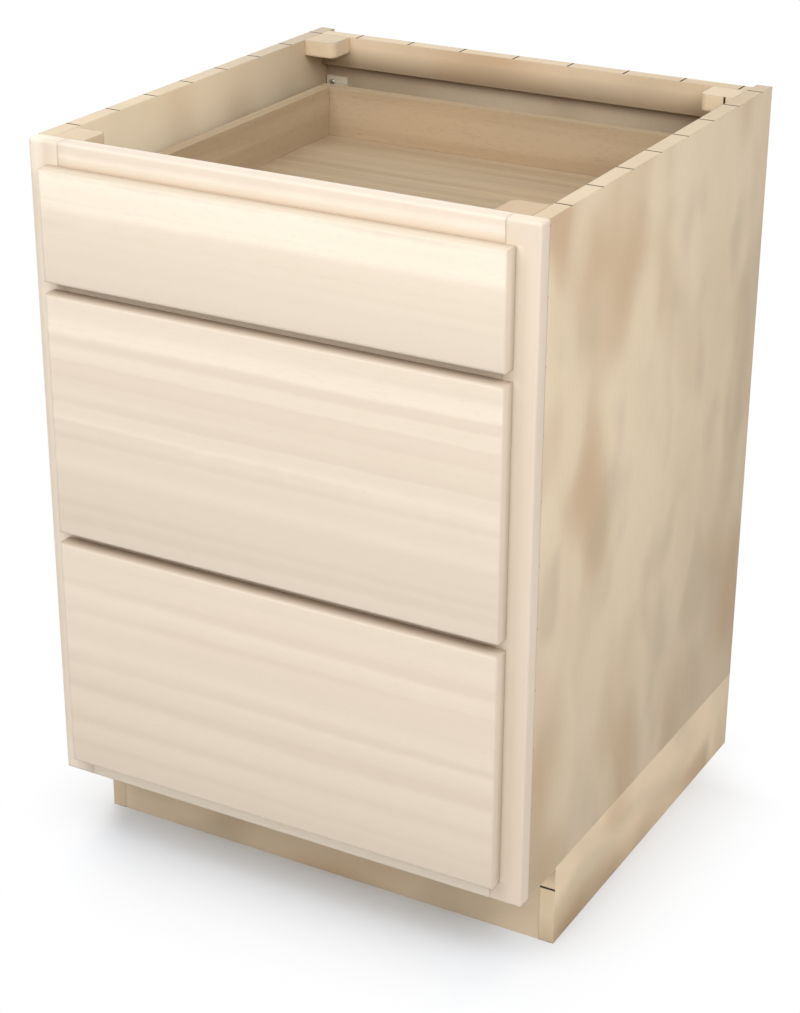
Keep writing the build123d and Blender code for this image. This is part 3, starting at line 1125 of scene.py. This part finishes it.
@dataclass
class Carcass:
    """The plywood case behind the face frame.

    Attributes:
        mark_pitch: Distance between the dark lines on the upper edges.
        rise_pitch: Distance between them up the sides' front and rear edges.
        side_mark: Place of one line along the sides.
        rise_mark: Height of one line up the sides.
        rail_mark: Place of one line along the back rail.
        block_mark: Place of the line on the right-hand corner blocks.
        mark_width: Width of a line.
        joint: Depth of the joint between the sides and the face frame.
        joint_span: Where the lines begin and end beside it.
    """

    mark_pitch: float = 0.073
    rise_pitch: float = 0.0725
    side_mark: float = -0.2264
    rise_mark: float = 0.0715
    rail_mark: float = -0.0165
    block_mark: float = 0.2748
    mark_width: float = 0.0028
    joint: float = -0.275375
    joint_span: tuple[float, float] = (-0.001, 0.0016)

    def mark(
        self, axis: Axis, first: float, pitch: float, facing: Axis,
        depth: float = 1.0, limit: Limit | None = None,
    ) -> CrossMarks:
        """Gives dark lines along one axis, as the case's edges have."""
        return CrossMarks(axis, first, pitch, self.mark_width, facing, MARK_BROWN, depth, limit)

    def sides(self) -> dict[str, SidePly]:
        """Gives the plywood of the two sides.

        Returns:
            The finishes by node.
        """
        above = (Axis.HEIGHT, 0.1027, 1.0)
        top = (Axis.HEIGHT, 0.8758, 1.0)
        notch = (Axis.DEPTH, -0.2060, -0.2047)
        at_joint = (Axis.DEPTH, *(self.joint + gap for gap in self.joint_span))
        marks = (
            self.mark(Axis.DEPTH, self.side_mark, self.mark_pitch, Axis.HEIGHT),
            self.mark(Axis.HEIGHT, self.rise_mark, self.rise_pitch, Axis.DEPTH),
            self.mark(Axis.HEIGHT, self.rise_mark, self.rise_pitch, Axis.WIDTH, 0.35, at_joint),
        )
        # Painted shade: the sides darker towards the foot and the rear, and their inner faces darker
        # downwards.
        both = (
            Fade(PLY_FOOT_SHADE, Axis.HEIGHT, 0.55, 0.0, 0.42, above),
            Fade(PLY_FOOT_SHADE, Axis.DEPTH, -0.05, 0.31, 0.22, above),
            Fade(PLY_INSIDE_SHADE, Axis.HEIGHT, 0.82, 0.74, 0.55, INNER_FACES),
        )
        # Painted light on the left side's inner face towards the front; painted shade towards the rear
        # and on the upper edge.
        left = (
            Fade(PLY_PALE, Axis.DEPTH, 0.25, -0.27, 0.8, INNER_FACES),
            Fade(PLY_INSIDE_SHADE, Axis.DEPTH, 0.0, 0.30, 0.35, INNER_FACES),
            Fade(PLY_FOOT_SHADE, Axis.DEPTH, -0.05, 0.20, 0.35, top),
            Fade(PLY_CALM, Axis.WIDTH, -0.3030, -0.3045, 0.35),
        )
        # Painted light on the right side's notch edge, and painted shade on it towards the floor.
        right = (
            Fade(EDGE_LIT, Axis.HEIGHT, 0.094, 0.078, 0.9, notch),
            Fade(PLY_STAIN_AND_SHADE, Axis.HEIGHT, 0.035, 0.0, 0.45, notch),
        )
        return {
            name: SidePly(
                name + "_ply", Axis.HEIGHT, shift, edge_tone=edge, marks=marks, fades=both + own,
            )
            for name, shift, edge, own in (
                ("side_left", (0.3, 0.2, 0.7), EDGE_CREAM, left),
                ("side_right", (0.20, -2.508, 1.784), EDGE_TAN, right),
            )
        }

    def rear(self) -> dict[str, PlyWood]:
        """Gives the plywood of the back panel and the back rail.

        Returns:
            The finishes by node.
        """
        # Painted shade on the back panel's inner face: darker downwards, under the back rail and towards
        # both sides.
        panel = (
            Fade(PLY_INSIDE_SHADE, Axis.HEIGHT, 0.86, 0.74, 0.4, INSIDE),
            Fade(PLY_INSIDE_SHADE, Axis.HEIGHT, 0.78, 0.836, 0.4, INSIDE),
            Fade(PLY_INSIDE_SHADE, Axis.WIDTH, 0.0, -0.29, 0.55, INSIDE),
            Fade(PLY_INSIDE_SHADE, Axis.WIDTH, 0.08, 0.24, 0.35, INSIDE),
            Fade(PLY_CALM, Axis.DEPTH, 0.3000, 0.3050, 0.35),
        )
        # Painted shade on the back rail's inner face, darker towards its lower edge; also darker towards
        # the right.
        rail = (
            Fade(PLY_INSIDE_SHADE, Axis.HEIGHT, 0.865, 0.842, 0.78, INSIDE),
            Fade(PLY_STAIN_AND_SHADE, Axis.WIDTH, 0.04, 0.20, 0.22, INSIDE),
        )
        lines = (self.mark(Axis.WIDTH, self.rail_mark, self.mark_pitch, Axis.HEIGHT),)
        return {
            "back_panel": PlyWood(
                "back_ply", Axis.HEIGHT, (2.3, 0.4, 1.3), broad_face=Axis.DEPTH, fades=panel,
            ),
            "back_rail": PlyWood(
                "back_rail_ply", Axis.WIDTH, (6.4, 0.6, 0.3), PLY_CALM,
                broad_face=Axis.DEPTH, marks=lines, fades=rail,
            ),
        }

    def rest(self) -> dict[str, PlyWood]:
        """Gives the plywood of the floor, the toe kick, the base rail and the corner blocks.

        Returns:
            The finishes by node.
        """
        # The toe board darker towards its top, painted shade under the frame, and darker towards the
        # right.
        toe_fades = (
            Fade(PLY_STAIN_AND_SHADE, Axis.HEIGHT, 0.03, 0.10, 0.12),
            Fade(PLY_STAIN_AND_SHADE, Axis.WIDTH, 0.05, 0.28, 0.12),
        )
        darker = (Fade(PLY_STAIN_AND_SHADE, Axis.WIDTH, 0.20, 0.21, 0.48, (Axis.DEPTH, -0.3, -0.2)),)
        line = (self.mark(Axis.WIDTH, self.block_mark, 2.0, Axis.DEPTH),)
        return {
            "cabinet_floor": PlyWood("floor_ply", Axis.DEPTH, (3.1, 0.8, 0.2), broad_face=Axis.HEIGHT),
            "toe_kick_board": PlyWood(
                "toe_ply", Axis.WIDTH, (4.7, 1.1, 0.9), broad_face=Axis.DEPTH, fades=toe_fades,
            ),
            "rear_base_rail": PlyWood(
                "base_rail_ply", Axis.WIDTH, (5.2, 0.1, 0.4), broad_face=Axis.DEPTH,
            ),
            "corner_blocks": PlyWood(
                "block_ply", Axis.DEPTH, (7.3, 0.5, 0.8), RAIL_TAN,
                broad_face=Axis.HEIGHT, marks=line, fades=darker, eased=0.004,
            ),
        }

    def build(self) -> None:
        """Dresses every board of the case."""
        for node, ply in {**self.sides(), **self.rear(), **self.rest()}.items():
            dress(node, ply.build())


@dataclass
class FaceFrame:
    """The solid-wood frame at the front.

    Attributes:
        seam: Distance of the seams between stiles and rails from the middle.
        seam_width: Width of the shaded line at a seam.
        seam_depth: Share of its tone.
        left_shade: Length of the painted shade at a rail's left end.
        right_shade: Length of the painted shade at a rail's right end.
    """

    seam: float = 0.2667
    seam_width: float = 0.0020
    seam_depth: float = 0.15
    left_shade: float = 0.014
    right_shade: float = 0.010

    def stiles(self) -> None:
        """Dresses the two stiles."""
        # Painted light on the right stile beside the fronts, against the shade that they cast on it.
        beside = Fade(FACE_BRIGHT, Axis.WIDTH, 0.288, 0.2794, 0.55, (Axis.HEIGHT, 0.127, 0.851))
        for name, shift, ground, fades in (
            ("stile_left", (0.2, 0.9, 0.4), LEFT_STILE, ()),
            ("stile_right", (1.4, 0.3, 1.6), RIGHT_STILE, (beside,)),
        ):
            dress(name, FaceWood(name + "_wood", Axis.HEIGHT, shift, ground, fades=fades).build())

    def rails(self) -> None:
        """Dresses the four rails."""
        line = (Axis.WIDTH, self.seam, 2 * self.seam, self.seam_width)
        seams = tuple(
            CrossMarks(*line, facing, SEAM_TAN, self.seam_depth) for facing in (Axis.DEPTH, Axis.HEIGHT)
        )
        # Painted shade at the rails' ends, by the seams.
        ends = (
            Fade(FACE_SOFT_SHADE, Axis.WIDTH, self.left_shade - self.seam, -self.seam, 0.35),
            Fade(FACE_SOFT_SHADE, Axis.WIDTH, self.seam - self.right_shade, self.seam, 0.18),
        )
        # Painted shadow on the top rail just above the top front, and painted shade on the rail's upper
        # face.
        top_rail_shade = (
            Fade(FACE_CONTACT_SHADOW, Axis.HEIGHT, 0.861, 0.851, 0.85),
            Fade(FACE_SOFT_SHADE, Axis.HEIGHT, 0.8755, 0.8762, 0.25),
        )
        # The upper and bottom rails take a brighter ground: painted light against the shade in the gaps.
        for step, (name, ground, own) in enumerate((
            ("top", TOP_RAIL, top_rail_shade), ("upper", FACE_BRIGHT, ()),
            ("lower", GAP_RAIL, ()), ("bottom", FOOT_RAIL, ()),
        )):
            wood = FaceWood(
                f"rail_{name}_wood", Axis.WIDTH, (0.7 * step, 0.2, 0.37 * step), ground,
                fades=ends + own, marks=seams,
            )
            dress(f"frame_rail_{name}", wood.build())

    def build(self) -> None:
        """Dresses the whole frame."""
        self.stiles()
        self.rails()


@dataclass
class Fasteners:
    """The finishes and shapes that all the screws and pads share.

    Attributes:
        steel: Finish of the screws.
        pad: Finish of the pads.
        front_screw: The screw of the drawer fronts.
        slide_screw: The screw of the slides.
        socket_screw: The screw of the rear sockets.
        dome: The pad.
    """

    steel: Material = field(default_factory=SCREW_STEEL.build)
    pad: Material = field(default_factory=CLEAR_PAD.build)
    front_screw: Piece = field(default_factory=PanHeadScrew(length=0.028).build)
    slide_screw: Piece = field(default_factory=PanHeadScrew(length=0.013).build)
    socket_screw: Piece = field(default_factory=PanHeadScrew(length=0.012).build)
    dome: Piece = field(default_factory=DomePad().build)

    def set_screws(
        self, node: str, body: str, shape: Piece, places: list[Point], directions: list[Point]
    ) -> None:
        """Sets detailed screws in place of a node of plain ones.

        Args:
            node: Name of the node that they replace.
            body: Body that they move with.
            shape: The screw.
            places: The seat of each head.
            directions: Which way each point goes.
        """
        name = node.replace("_screws", "_cross_screws")
        piece = Repeats(name, places, directions, math.pi, len(places)).build(shape, self.steel)
        smooth(piece, 0.7)
        settle(piece, body, node)


@dataclass
class Drawer:
    """One drawer: front, dovetailed box, screws and pads.

    Attributes:
        name: Name of the drawer, as its nodes have it.
        sill: Height of the opening's lower edge.
        opening: Height of the opening.
        box_height: Height of the box.
        shift: Moves its wood's pattern.
        ground: Tone of the pale parts of its front.
        ledge_shade: Painted shade on its front's upper edge, where the eased edge looks up.
        fasteners: The shared screws and pads.
        overlay: How far the front reaches past the opening.
        box_lift: Height of the box over the sill.
        half_box: Half the width of the box.
        half_opening: Half the width of the opening.
        front_back: Depth of the front's back.
        box_front_inner: Depth of the box front's inner face.
        slide_front: Depth of the slides' front ends.
        slide_rise: Height of the slides' centre line over the box's lower edge.
        moving_length: Length of the drawer members.
        sheet: Thickness of their steel.
        screw_inset: Distance of the slide screws from the members' ends.
        front_inset: Distance of the front screws from the box's sides.
        front_low: Height of the lower front screws in the box.
        front_high: Distance of the upper ones from its upper edge.
        pad_inset: Distance of the pads from the front's upper and lower edges.
        pale: Share of the front's height, from the top, that the painted shade at the foot leaves alone.
    """

    name: str
    sill: float
    opening: float
    box_height: float
    shift: Point
    ground: Colour
    ledge_shade: Colour
    fasteners: Fasteners
    overlay: float = 0.0127
    box_lift: float = 0.0143
    half_box: float = 0.254
    half_opening: float = 0.2667
    front_back: float = -0.296125
    box_front_inner: float = -0.28025
    slide_front: float = -0.291425
    slide_rise: float = 0.0381
    moving_length: float = 0.5254
    sheet: float = 0.0012
    screw_inset: float = 0.042
    front_inset: float = 0.090
    front_low: float = 0.031
    front_high: float = 0.018
    pad_inset: float = 0.014
    pale: float = 0.3

    @property
    def body(self) -> str:
        """Name of the body that the drawer is."""
        return self.name + "_drawer"

    @property
    def underside(self) -> float:
        """Height of the box's lower edge."""
        return self.sill + self.box_lift

    @property
    def middle(self) -> float:
        """Height of the slides' centre line."""
        return self.underside + self.slide_rise

    @property
    def edges(self) -> tuple[float, float]:
        """Heights of the front's lower and upper edges."""
        return self.sill - self.overlay, self.sill + self.opening + self.overlay

    def front(self) -> None:
        """Dresses the front."""
        foot, top = self.edges
        ahead = (Axis.DEPTH, -0.4, self.front_back - SOFT_EDGE)
        # Painted shade: the front darker towards its foot, and its edges darker towards its back, in the
        # gaps.
        fades = (
            Fade(FACE_SOFT_SHADE, Axis.HEIGHT, top - self.pale * (top - foot), foot, 0.60),
            Fade(FACE_SHADE, Axis.DEPTH, -0.3075, self.front_back - SKIN, 0.62, ahead),
        )
        # Painted shade on the upper and right-hand eased edges, and painted light on the lower ones.
        turns = (
            Turn(self.ledge_shade, Axis.HEIGHT, 0.20, 0.80, 0.85),
            Turn(FACE_FLANK_SHADE, Axis.WIDTH, 0.20, 0.80, 0.85),
            Turn(FACE_BRIGHT, Axis.HEIGHT, -0.05, -0.40, 1.0),
        )
        name = self.name + "_front_wood"
        wood = FaceWood(name, Axis.WIDTH, self.shift, self.ground, fades=fades, turns=turns)
        dress(self.name + "_drawer_front", wood.build())

    def box(self) -> None:
        """Dresses the boards of the box."""
        x, y, z = self.shift
        for part, grain in (
            ("box_front", Axis.WIDTH),
            ("box_back", Axis.WIDTH),
            ("box_side_left", Axis.DEPTH),
            ("box_side_right", Axis.DEPTH),
        ):
            x, y, z = x + 0.9, y + 0.4, z + 0.3
            dress(f"{self.name}_{part}", BoxWood(f"{self.name}_{part}_wood", grain, (x, y, z)).build())
        bottom = BoxWood(self.name + "_bottom_ply", Axis.WIDTH, (x, z, y))
        dress(self.name + "_box_bottom", bottom.build())

    def screws(self) -> None:
        """Sets the screws of the front and of the slides."""
        heights = (self.underside + self.front_low, self.underside + self.box_height - self.front_high)
        reach = self.half_box - self.front_inset
        places = [(x, self.box_front_inner, z) for x in (-reach, reach) for z in heights]
        forward = [(0.0, -1.0, 0.0)] * len(places)
        shapes = self.fasteners
        shapes.set_screws(self.name + "_front_screws", self.body, shapes.front_screw, places, forward)
        insets = (self.screw_inset, self.moving_length - self.screw_inset)
        ends = [self.slide_front + inset for inset in insets]
        seat = self.half_box + self.sheet
        places = [(hand * seat, y, self.middle) for hand in (-1, 1) for y in ends]
        inward = [(-math.copysign(1.0, x), 0.0, 0.0) for x, _, _ in places]
        shapes.set_screws(self.name + "_slide_screws", self.body, shapes.slide_screw, places, inward)

    def pads(self) -> None:
        """Sets the four domed pads behind the front."""
        reach = self.half_opening + self.overlay / 2
        foot, top = self.edges
        heights = (foot + self.pad_inset, top - self.pad_inset)
        places = [(x, self.front_back, z) for x in (-reach, reach) for z in heights]
        pads = Repeats(self.name + "_dome_pads", places, [(0.0, 1.0, 0.0)] * len(places))
        piece = pads.build(self.fasteners.dome, self.fasteners.pad)
        smooth(piece, 1.0)
        settle(piece, self.body, self.name + "_bumpers")

    def build(self) -> None:
        """Dresses the drawer and fastens it together."""
        self.front()
        self.box()
        self.screws()
        self.pads()


class RowShape(Enum):
    """What follows each other in a row along a slide."""

    BALL = "balls"
    BLOCK = "blocks"


@dataclass
class BallCage:
    """One pair of ball cages, left and right: carrier blocks on a web, with a ball between each two.

    Attributes:
        node: Name of the CAD node that it replaces.
        body: Body that it moves with.
        web: Depth of the web's outer face, from the edge of the opening.
        tip: Depth of the carriers' inner face.
        outer: Half height over the carriers.
        inner: Half height between the carriers.
        middle: Height of the slide.
        web_thickness: Thickness of the web.
        length: Length of the cage.
        balls: Number of carrier blocks in a row, one more than the balls.
        ball_radius: Radius of a ball.
        pocket: Width of the gap for a ball, in radii.
        half_opening: Half the width of the opening.
        start: Depth of the cage's front end.
    """

    node: str
    body: str
    web: float
    tip: float
    outer: float
    inner: float
    middle: float
    web_thickness: float = 0.0006
    length: float = 0.240
    balls: int = 20
    ball_radius: float = 0.00155
    pocket: float = 2.3
    half_opening: float = 0.2667
    start: float = -0.148725

    def starts(self) -> list[Point]:
        """Gives the ends of the rows at the front.

        Returns:
            The first point of each of the four rows.
        """
        depth = (self.web + self.web_thickness + self.tip) / 2
        height = (self.outer + self.inner) / 2
        return [
            (hand * (self.half_opening - depth), self.start, self.middle + up * height)
            for hand in (-1, 1)
            for up in (-1, 1)
        ]

    def row(
        self, name: str, points: list[Point], shape: RowShape, sizes: dict[str, float], finish: Material
    ) -> Piece:
        """Repeats a ball or a block along the slide, from each point.

        Args:
            name: Name of the piece.
            points: Where each row starts.
            shape: What the row is made of.
            sizes: The tree's sizes: Count, First and Pitch, and Radius or Depth, Length and Height.
            finish: The material.

        Returns:
            The piece.
        """
        kinds = {size: "Int" if size == "Count" else "Float" for size in sizes}
        tree = CopyTree("row_of_" + shape.value, kinds)
        given = tree.given
        line = tree.out("GeometryNodeMeshLine", {
            "Count": given["Count"],
            "Start Location": tree.out("ShaderNodeCombineXYZ", {"Y": given["First"]}),
            "Offset": tree.out("ShaderNodeCombineXYZ", {"Y": given["Pitch"]}),
        })
        if shape is RowShape.BALL:
            size = {"Radius": given["Radius"], "Subdivisions": 2}
            single = tree.out("GeometryNodeMeshIcoSphere", size)
        else:
            size = {"X": given["Depth"], "Y": given["Length"], "Z": given["Height"]}
            single = tree.out("GeometryNodeMeshCube", {"Size": tree.out("ShaderNodeCombineXYZ", size)})
        copies = single
        for places in (line, given["Geometry"]):
            copies = tree.out("GeometryNodeInstanceOnPoints", {"Points": places, "Instance": copies})
        tree.close(copies)
        return tree.run(name, points, {**sizes, "Finish": finish})

    def build(self, cage_finish: Material, ball_finish: Material) -> None:
        """Makes the cages and their balls.

        Args:
            cage_finish: Material of the cages.
            ball_finish: Material of the balls.
        """
        rows, pitch = self.starts(), self.length / self.balls
        across = self.half_opening - self.web - self.web_thickness / 2
        webs = [(hand * across, self.start + self.length / 2, self.middle) for hand in (-1, 1)]
        carriers = self.row(self.node + "_pocketed", rows, RowShape.BLOCK, {
            "Count": self.balls,
            "First": pitch / 2,
            "Pitch": pitch,
            "Length": pitch - self.pocket * self.ball_radius,
            "Depth": self.tip - self.web - self.web_thickness,
            "Height": self.outer - self.inner,
        }, cage_finish)
        sheets = self.row(self.node + "_webs", webs, RowShape.BLOCK, {
            "Count": 1,
            "First": 0.0,
            "Pitch": self.length,
            "Length": self.length,
            "Depth": self.web_thickness,
            "Height": 2 * self.outer,
        }, cage_finish)
        joined = bmesh.new()
        joined.from_mesh(carriers.data)
        joined.from_mesh(sheets.data)
        joined.to_mesh(carriers.data)
        joined.free()
        bpy.data.objects.remove(sheets)
        balls = self.row(self.node + "_balls", rows, RowShape.BALL, {
            "Count": self.balls - 1,
            "First": pitch,
            "Pitch": pitch,
            "Radius": self.ball_radius,
        }, ball_finish)
        balls.data.shade_smooth()
        settle(carriers, self.body, self.node)
        settle(balls, self.body)


@dataclass
class Slides:
    """The slides of one drawer: three nested members a side, with two ball cages between them.

    Attributes:
        name: Name of the drawer.
        middle: Height of the slides' centre line.
        steel: Finish of the members.
        cage: Finish of the cages.
        ball: Finish of the balls.
    """

    name: str
    middle: float
    steel: Material
    cage: Material
    ball: Material

    def build(self) -> None:
        """Dresses the members and builds the cages."""
        for member in ("cabinet", "middle", "drawer"):
            dress(f"{self.name}_slide_{member}_members", self.steel)
        for place, web, tip, outer, inner in (
            ("outer", 0.0031, 0.0085, 0.0210, 0.0184),
            ("inner", 0.0055, 0.0097, 0.0166, 0.0140),
        ):
            node, body = f"{self.name}_slide_{place}_cages", f"{self.name}_{place}_cages"
            cages = BallCage(node, body, web, tip, outer, inner, self.middle)
            cages.build(self.cage, self.ball)


@dataclass
class RearSockets:
    """The moulded sockets behind the slides, and the screws at both ends of the cabinet members.

    Attributes:
        middles: Heights of the slides' centre lines.
        fasteners: The shared screws.
        plate_face: Depth of the sockets' plates.
        hole_reach: Distance of their holes from the middle.
        hole_rise: Height of a hole over or under the centre line.
        stile_screw: Depth of the screws in the stiles.
        web_face: Distance of the cabinet members' webs from the middle.
    """

    middles: list[float]
    fasteners: Fasteners
    plate_face: float = 0.293125
    hole_reach: float = 0.2765
    hole_rise: float = 0.025
    stile_screw: float = -0.2834
    web_face: float = 0.2655

    def build(self) -> None:
        """Dresses the sockets and sets the screws."""
        dress("rear_slide_sockets", SOCKET_NYLON.build())
        hands = (-1.0, 1.0)
        places = [
            (hand * self.hole_reach, self.plate_face, middle + up * self.hole_rise)
            for middle in self.middles for hand in hands for up in hands
        ]
        rearward = [(0.0, 1.0, 0.0)] * len(places)
        shapes = self.fasteners
        shapes.set_screws("socket_screws", "cabinet", shapes.socket_screw, places, rearward)
        places = [
            (hand * self.web_face, self.stile_screw, middle) for middle in self.middles for hand in hands
        ]
        outward = [(math.copysign(1.0, x), 0.0, 0.0) for x, _, _ in places]
        shapes.set_screws("cabinet_slide_screws", "cabinet", shapes.slide_screw, places, outward)


@dataclass(frozen=True)
class SoftBox:
    """A soft square lamp.

    Attributes:
        name: Name of the lamp.
        place: Where it hangs.
        aim: Where it points.
        size: Length of its sides.
        power: Its power, in watts.
    """

    name: str
    place: Point
    aim: Point
    size: float
    power: float

    def build(self) -> None:
        """Hangs the lamp, out of the camera's sight."""
        data = bpy.data.lights.new(self.name, "AREA")
        data.shape, data.size, data.energy = "SQUARE", self.size, self.power
        lamp = bpy.data.objects.new(self.name, data)
        lamp.location = self.place
        lamp.rotation_mode = "QUATERNION"
        lamp.rotation_quaternion = (Vector(self.aim) - Vector(self.place)).to_track_quat("-Z", "Y")
        lamp.visible_camera = False
        bpy.context.scene.collection.objects.link(lamp)


@dataclass
class Studio:
    """The pale floor, the soft light and the camera.

    Attributes:
        camera_place: Where the camera stands.
        camera_turn: Its rotation, in degrees.
        lens: Focal length for a 36 mm sensor.
        sky: Strength of the white surroundings.
        floor_reach: Half the length of the floor.
        half_width: Half the width that stands on the floor.
        toe_depth: Distance of the toe kick from the middle.
        rear_depth: Distance of the back from the middle.
        pull: How much faster the shadow ends beside and behind the cabinet than ahead of it.
        white: Distances from the foot at which the white begins and is full.
        side_span: Where the white starts to come nearer at a side, and where it ends, from its face.
        rear_start: Depth at which it starts to come nearer at the rear.
        nearer: How much nearer it comes at the left, at the right and at the rear.
        near: Cool tint of the floor at the cabinet's foot, painted against the warm light the wood
            bounces onto it.
        far: Its tone away from it.
        grey: Its tone as the cabinet is lit by it.
        lamps: The lamps.
    """

    camera_place: Point = (1.21214, -2.20168, 1.53723)
    camera_turn: Point = (65.5885, -0.2740, 29.1898)
    lens: float = 81.995
    sky: float = 0.54
    floor_reach: float = 15.0
    half_width: float = 0.3048
    toe_depth: float = 0.2055
    rear_depth: float = 0.3088
    pull: float = 1.5
    white: tuple[float, float] = (0.03, 0.345)
    side_span: tuple[float, float] = (-0.05, 0.02)
    rear_start: float = 0.10
    nearer: Point = (0.15, 0.12, 0.26)
    near: Colour = (0.85, 0.915, 1.0)
    far: Colour = (0.915, 0.945, 0.985)
    grey: Colour = (0.62, 0.62, 0.62)
    lamps: tuple[SoftBox, ...] = (
        SoftBox("front_softbox", (-0.4, -2.0, 2.4), (0.0, -0.3, 0.6), 1.6, 30.0),
        SoftBox("right_softbox", (1.9, -1.2, 2.3), (0.3, 0.0, 0.5), 1.5, 34.0),
        SoftBox("rear_softbox", (-1.6, 2.2, 1.3), (-0.1, 0.2, 0.4), 1.8, 22.0),
    )

    def camera(self) -> None:
        """Sets the camera at the photograph's angle."""
        data = bpy.data.cameras.new("camera")
        data.lens, data.sensor_width = self.lens, 36.0
        data.clip_start, data.clip_end = 0.05, 50.0
        camera = bpy.data.objects.new("camera", data)
        camera.location = self.camera_place
        camera.rotation_euler = Euler([math.radians(angle) for angle in self.camera_turn])
        bpy.context.scene.collection.objects.link(camera)
        bpy.context.scene.camera = camera

    def seen(self, bench: NodeBench) -> Socket:
        """Tells which rays the picture is seen by.

        Args:
            bench: The nodes of the floor or the world.

        Returns:
            1 for rays from the camera, from mirrors and through clear pieces.
        """
        path = bench.node("ShaderNodeLightPath").outputs
        both = bench.maths("MAXIMUM", path["Is Camera Ray"], path["Is Glossy Ray"])
        return bench.maths("MAXIMUM", both, path["Is Transmission Ray"])

    def surroundings(self) -> None:
        """Sets the white world."""
        world = bpy.data.worlds.new("studio")
        world.use_nodes = True
        bench = NodeBench(world.node_tree)
        strength = bench.maths("MAXIMUM", self.seen(bench), self.sky)
        sky = bench.out("ShaderNodeBackground", {"Color": (1.0, 1.0, 1.0, 1.0), "Strength": strength})
        bench.node("ShaderNodeOutputWorld", {0: sky})
        bpy.context.scene.world = world

    def distance(self, bench: NodeBench) -> Socket:
        """Gives how far a spot on the floor is from the cabinet's foot, more so at its sides and rear.

        Args:
            bench: The floor's nodes.

        Returns:
            The distance.
        """
        across, depth, _ = Spot.read(bench).along
        gaps = (
            bench.maths("SUBTRACT", bench.maths("ABSOLUTE", across), self.half_width),
            bench.maths("SUBTRACT", -self.toe_depth, depth),
            bench.maths("SUBTRACT", depth, self.rear_depth),
        )
        beside, ahead, behind = (bench.maths("MAXIMUM", gap, 0.0) for gap in gaps)
        offset = bench.out("ShaderNodeCombineXYZ", {
            0: bench.times(beside, self.pull),
            1: bench.maths("ADD", ahead, bench.times(behind, self.pull)),
        })
        length = bench.node("ShaderNodeVectorMath", {0: offset}, operation="LENGTH").outputs["Value"]
        low, high = (self.half_width + gap for gap in self.side_span)
        left = bench.range(across, -low, -high, 0.0, self.nearer[0])
        right = bench.range(across, low, high, 0.0, self.nearer[1])
        rear = bench.range(depth, self.rear_start, self.rear_depth, 0.0, self.nearer[2])
        gain = bench.maths("MAXIMUM", bench.maths("MAXIMUM", left, right), rear)
        return bench.maths("ADD", length, gain)

    def floor(self) -> None:
        """Lays the floor, white to the camera away from the cabinet's shadow."""
        reach = self.floor_reach
        corners = [(x * reach, y * reach, 0.0) for x, y in ((-1, -1), (1, -1), (1, 1), (-1, 1))]
        mesh = bpy.data.meshes.new("floor")
        mesh.from_pydata(corners, [], [(0, 1, 2, 3)])
        floor = new_piece("studio_floor", mesh)
        material = bpy.data.materials.new("studio_floor")
        material.use_nodes = True
        bench = NodeBench(material.node_tree)
        away, seen = self.distance(bench), self.seen(bench)
        white = bench.times(seen, bench.range(away, *self.white, 0.0, 1.0))
        # The floor is tinted cool near the cabinet, against the warm light bounced off the wood.
        cool = bench.mix(bench.range(away, 0.0, 0.15, 0.0, 1.0), self.near, self.far)
        paint = bench.out("ShaderNodeBsdfDiffuse", {"Color": bench.mix(seen, self.grey, cool)})
        glow = bench.out("ShaderNodeEmission", {"Color": (1.0, 1.0, 1.0, 1.0), "Strength": 1.0})
        shader = bench.out("ShaderNodeMixShader", {0: white, 1: paint, 2: glow})
        bench.node("ShaderNodeOutputMaterial", {0: shader})
        mesh.materials.append(material)

    def build(self) -> None:
        """Sets up the whole studio."""
        self.surroundings()
        self.floor()
        for lamp in self.lamps:
            lamp.build()
        self.camera()
        bpy.context.scene.view_settings.view_transform = "Standard"


def main() -> None:
    """Builds the cabinet's finish and the studio, in order."""
    logging.basicConfig(level=logging.INFO, format="%(name)s: %(message)s")
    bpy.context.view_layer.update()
    fasteners = Fasteners()
    Carcass().build()
    FaceFrame().build()
    steel, cage, ball = SHEET_STEEL.build(), CAGE_NYLON.build(), BALL_STEEL.build()
    middles = []
    for name, sill, opening, box_height, shift, ground, ledge_shade in (
        ("top", 0.7366, 0.1016, 0.0762, (11.41, 6.42, 6.495), FACE_BRIGHT, TOP_LEDGE_SHADE),
        ("middle", 0.43815, 0.26035, 0.2286, (2.57, 7.60, 4.567), FACE_CREAM, FACE_LEDGE_SHADE),
        ("bottom", 0.1397, 0.26035, 0.2286, (24.27, 1.38, 3.587), FACE_GROUND, FACE_LEDGE_SHADE),
    ):
        drawer = Drawer(name, sill, opening, box_height, shift, ground, ledge_shade, fasteners)
        drawer.build()
        Slides(name, drawer.middle, steel, cage, ball).build()
        middles.append(drawer.middle)
    RearSockets(middles, fasteners).build()
    Studio().build()
    log.info("size written")


if __name__ == "__main__":
    main()
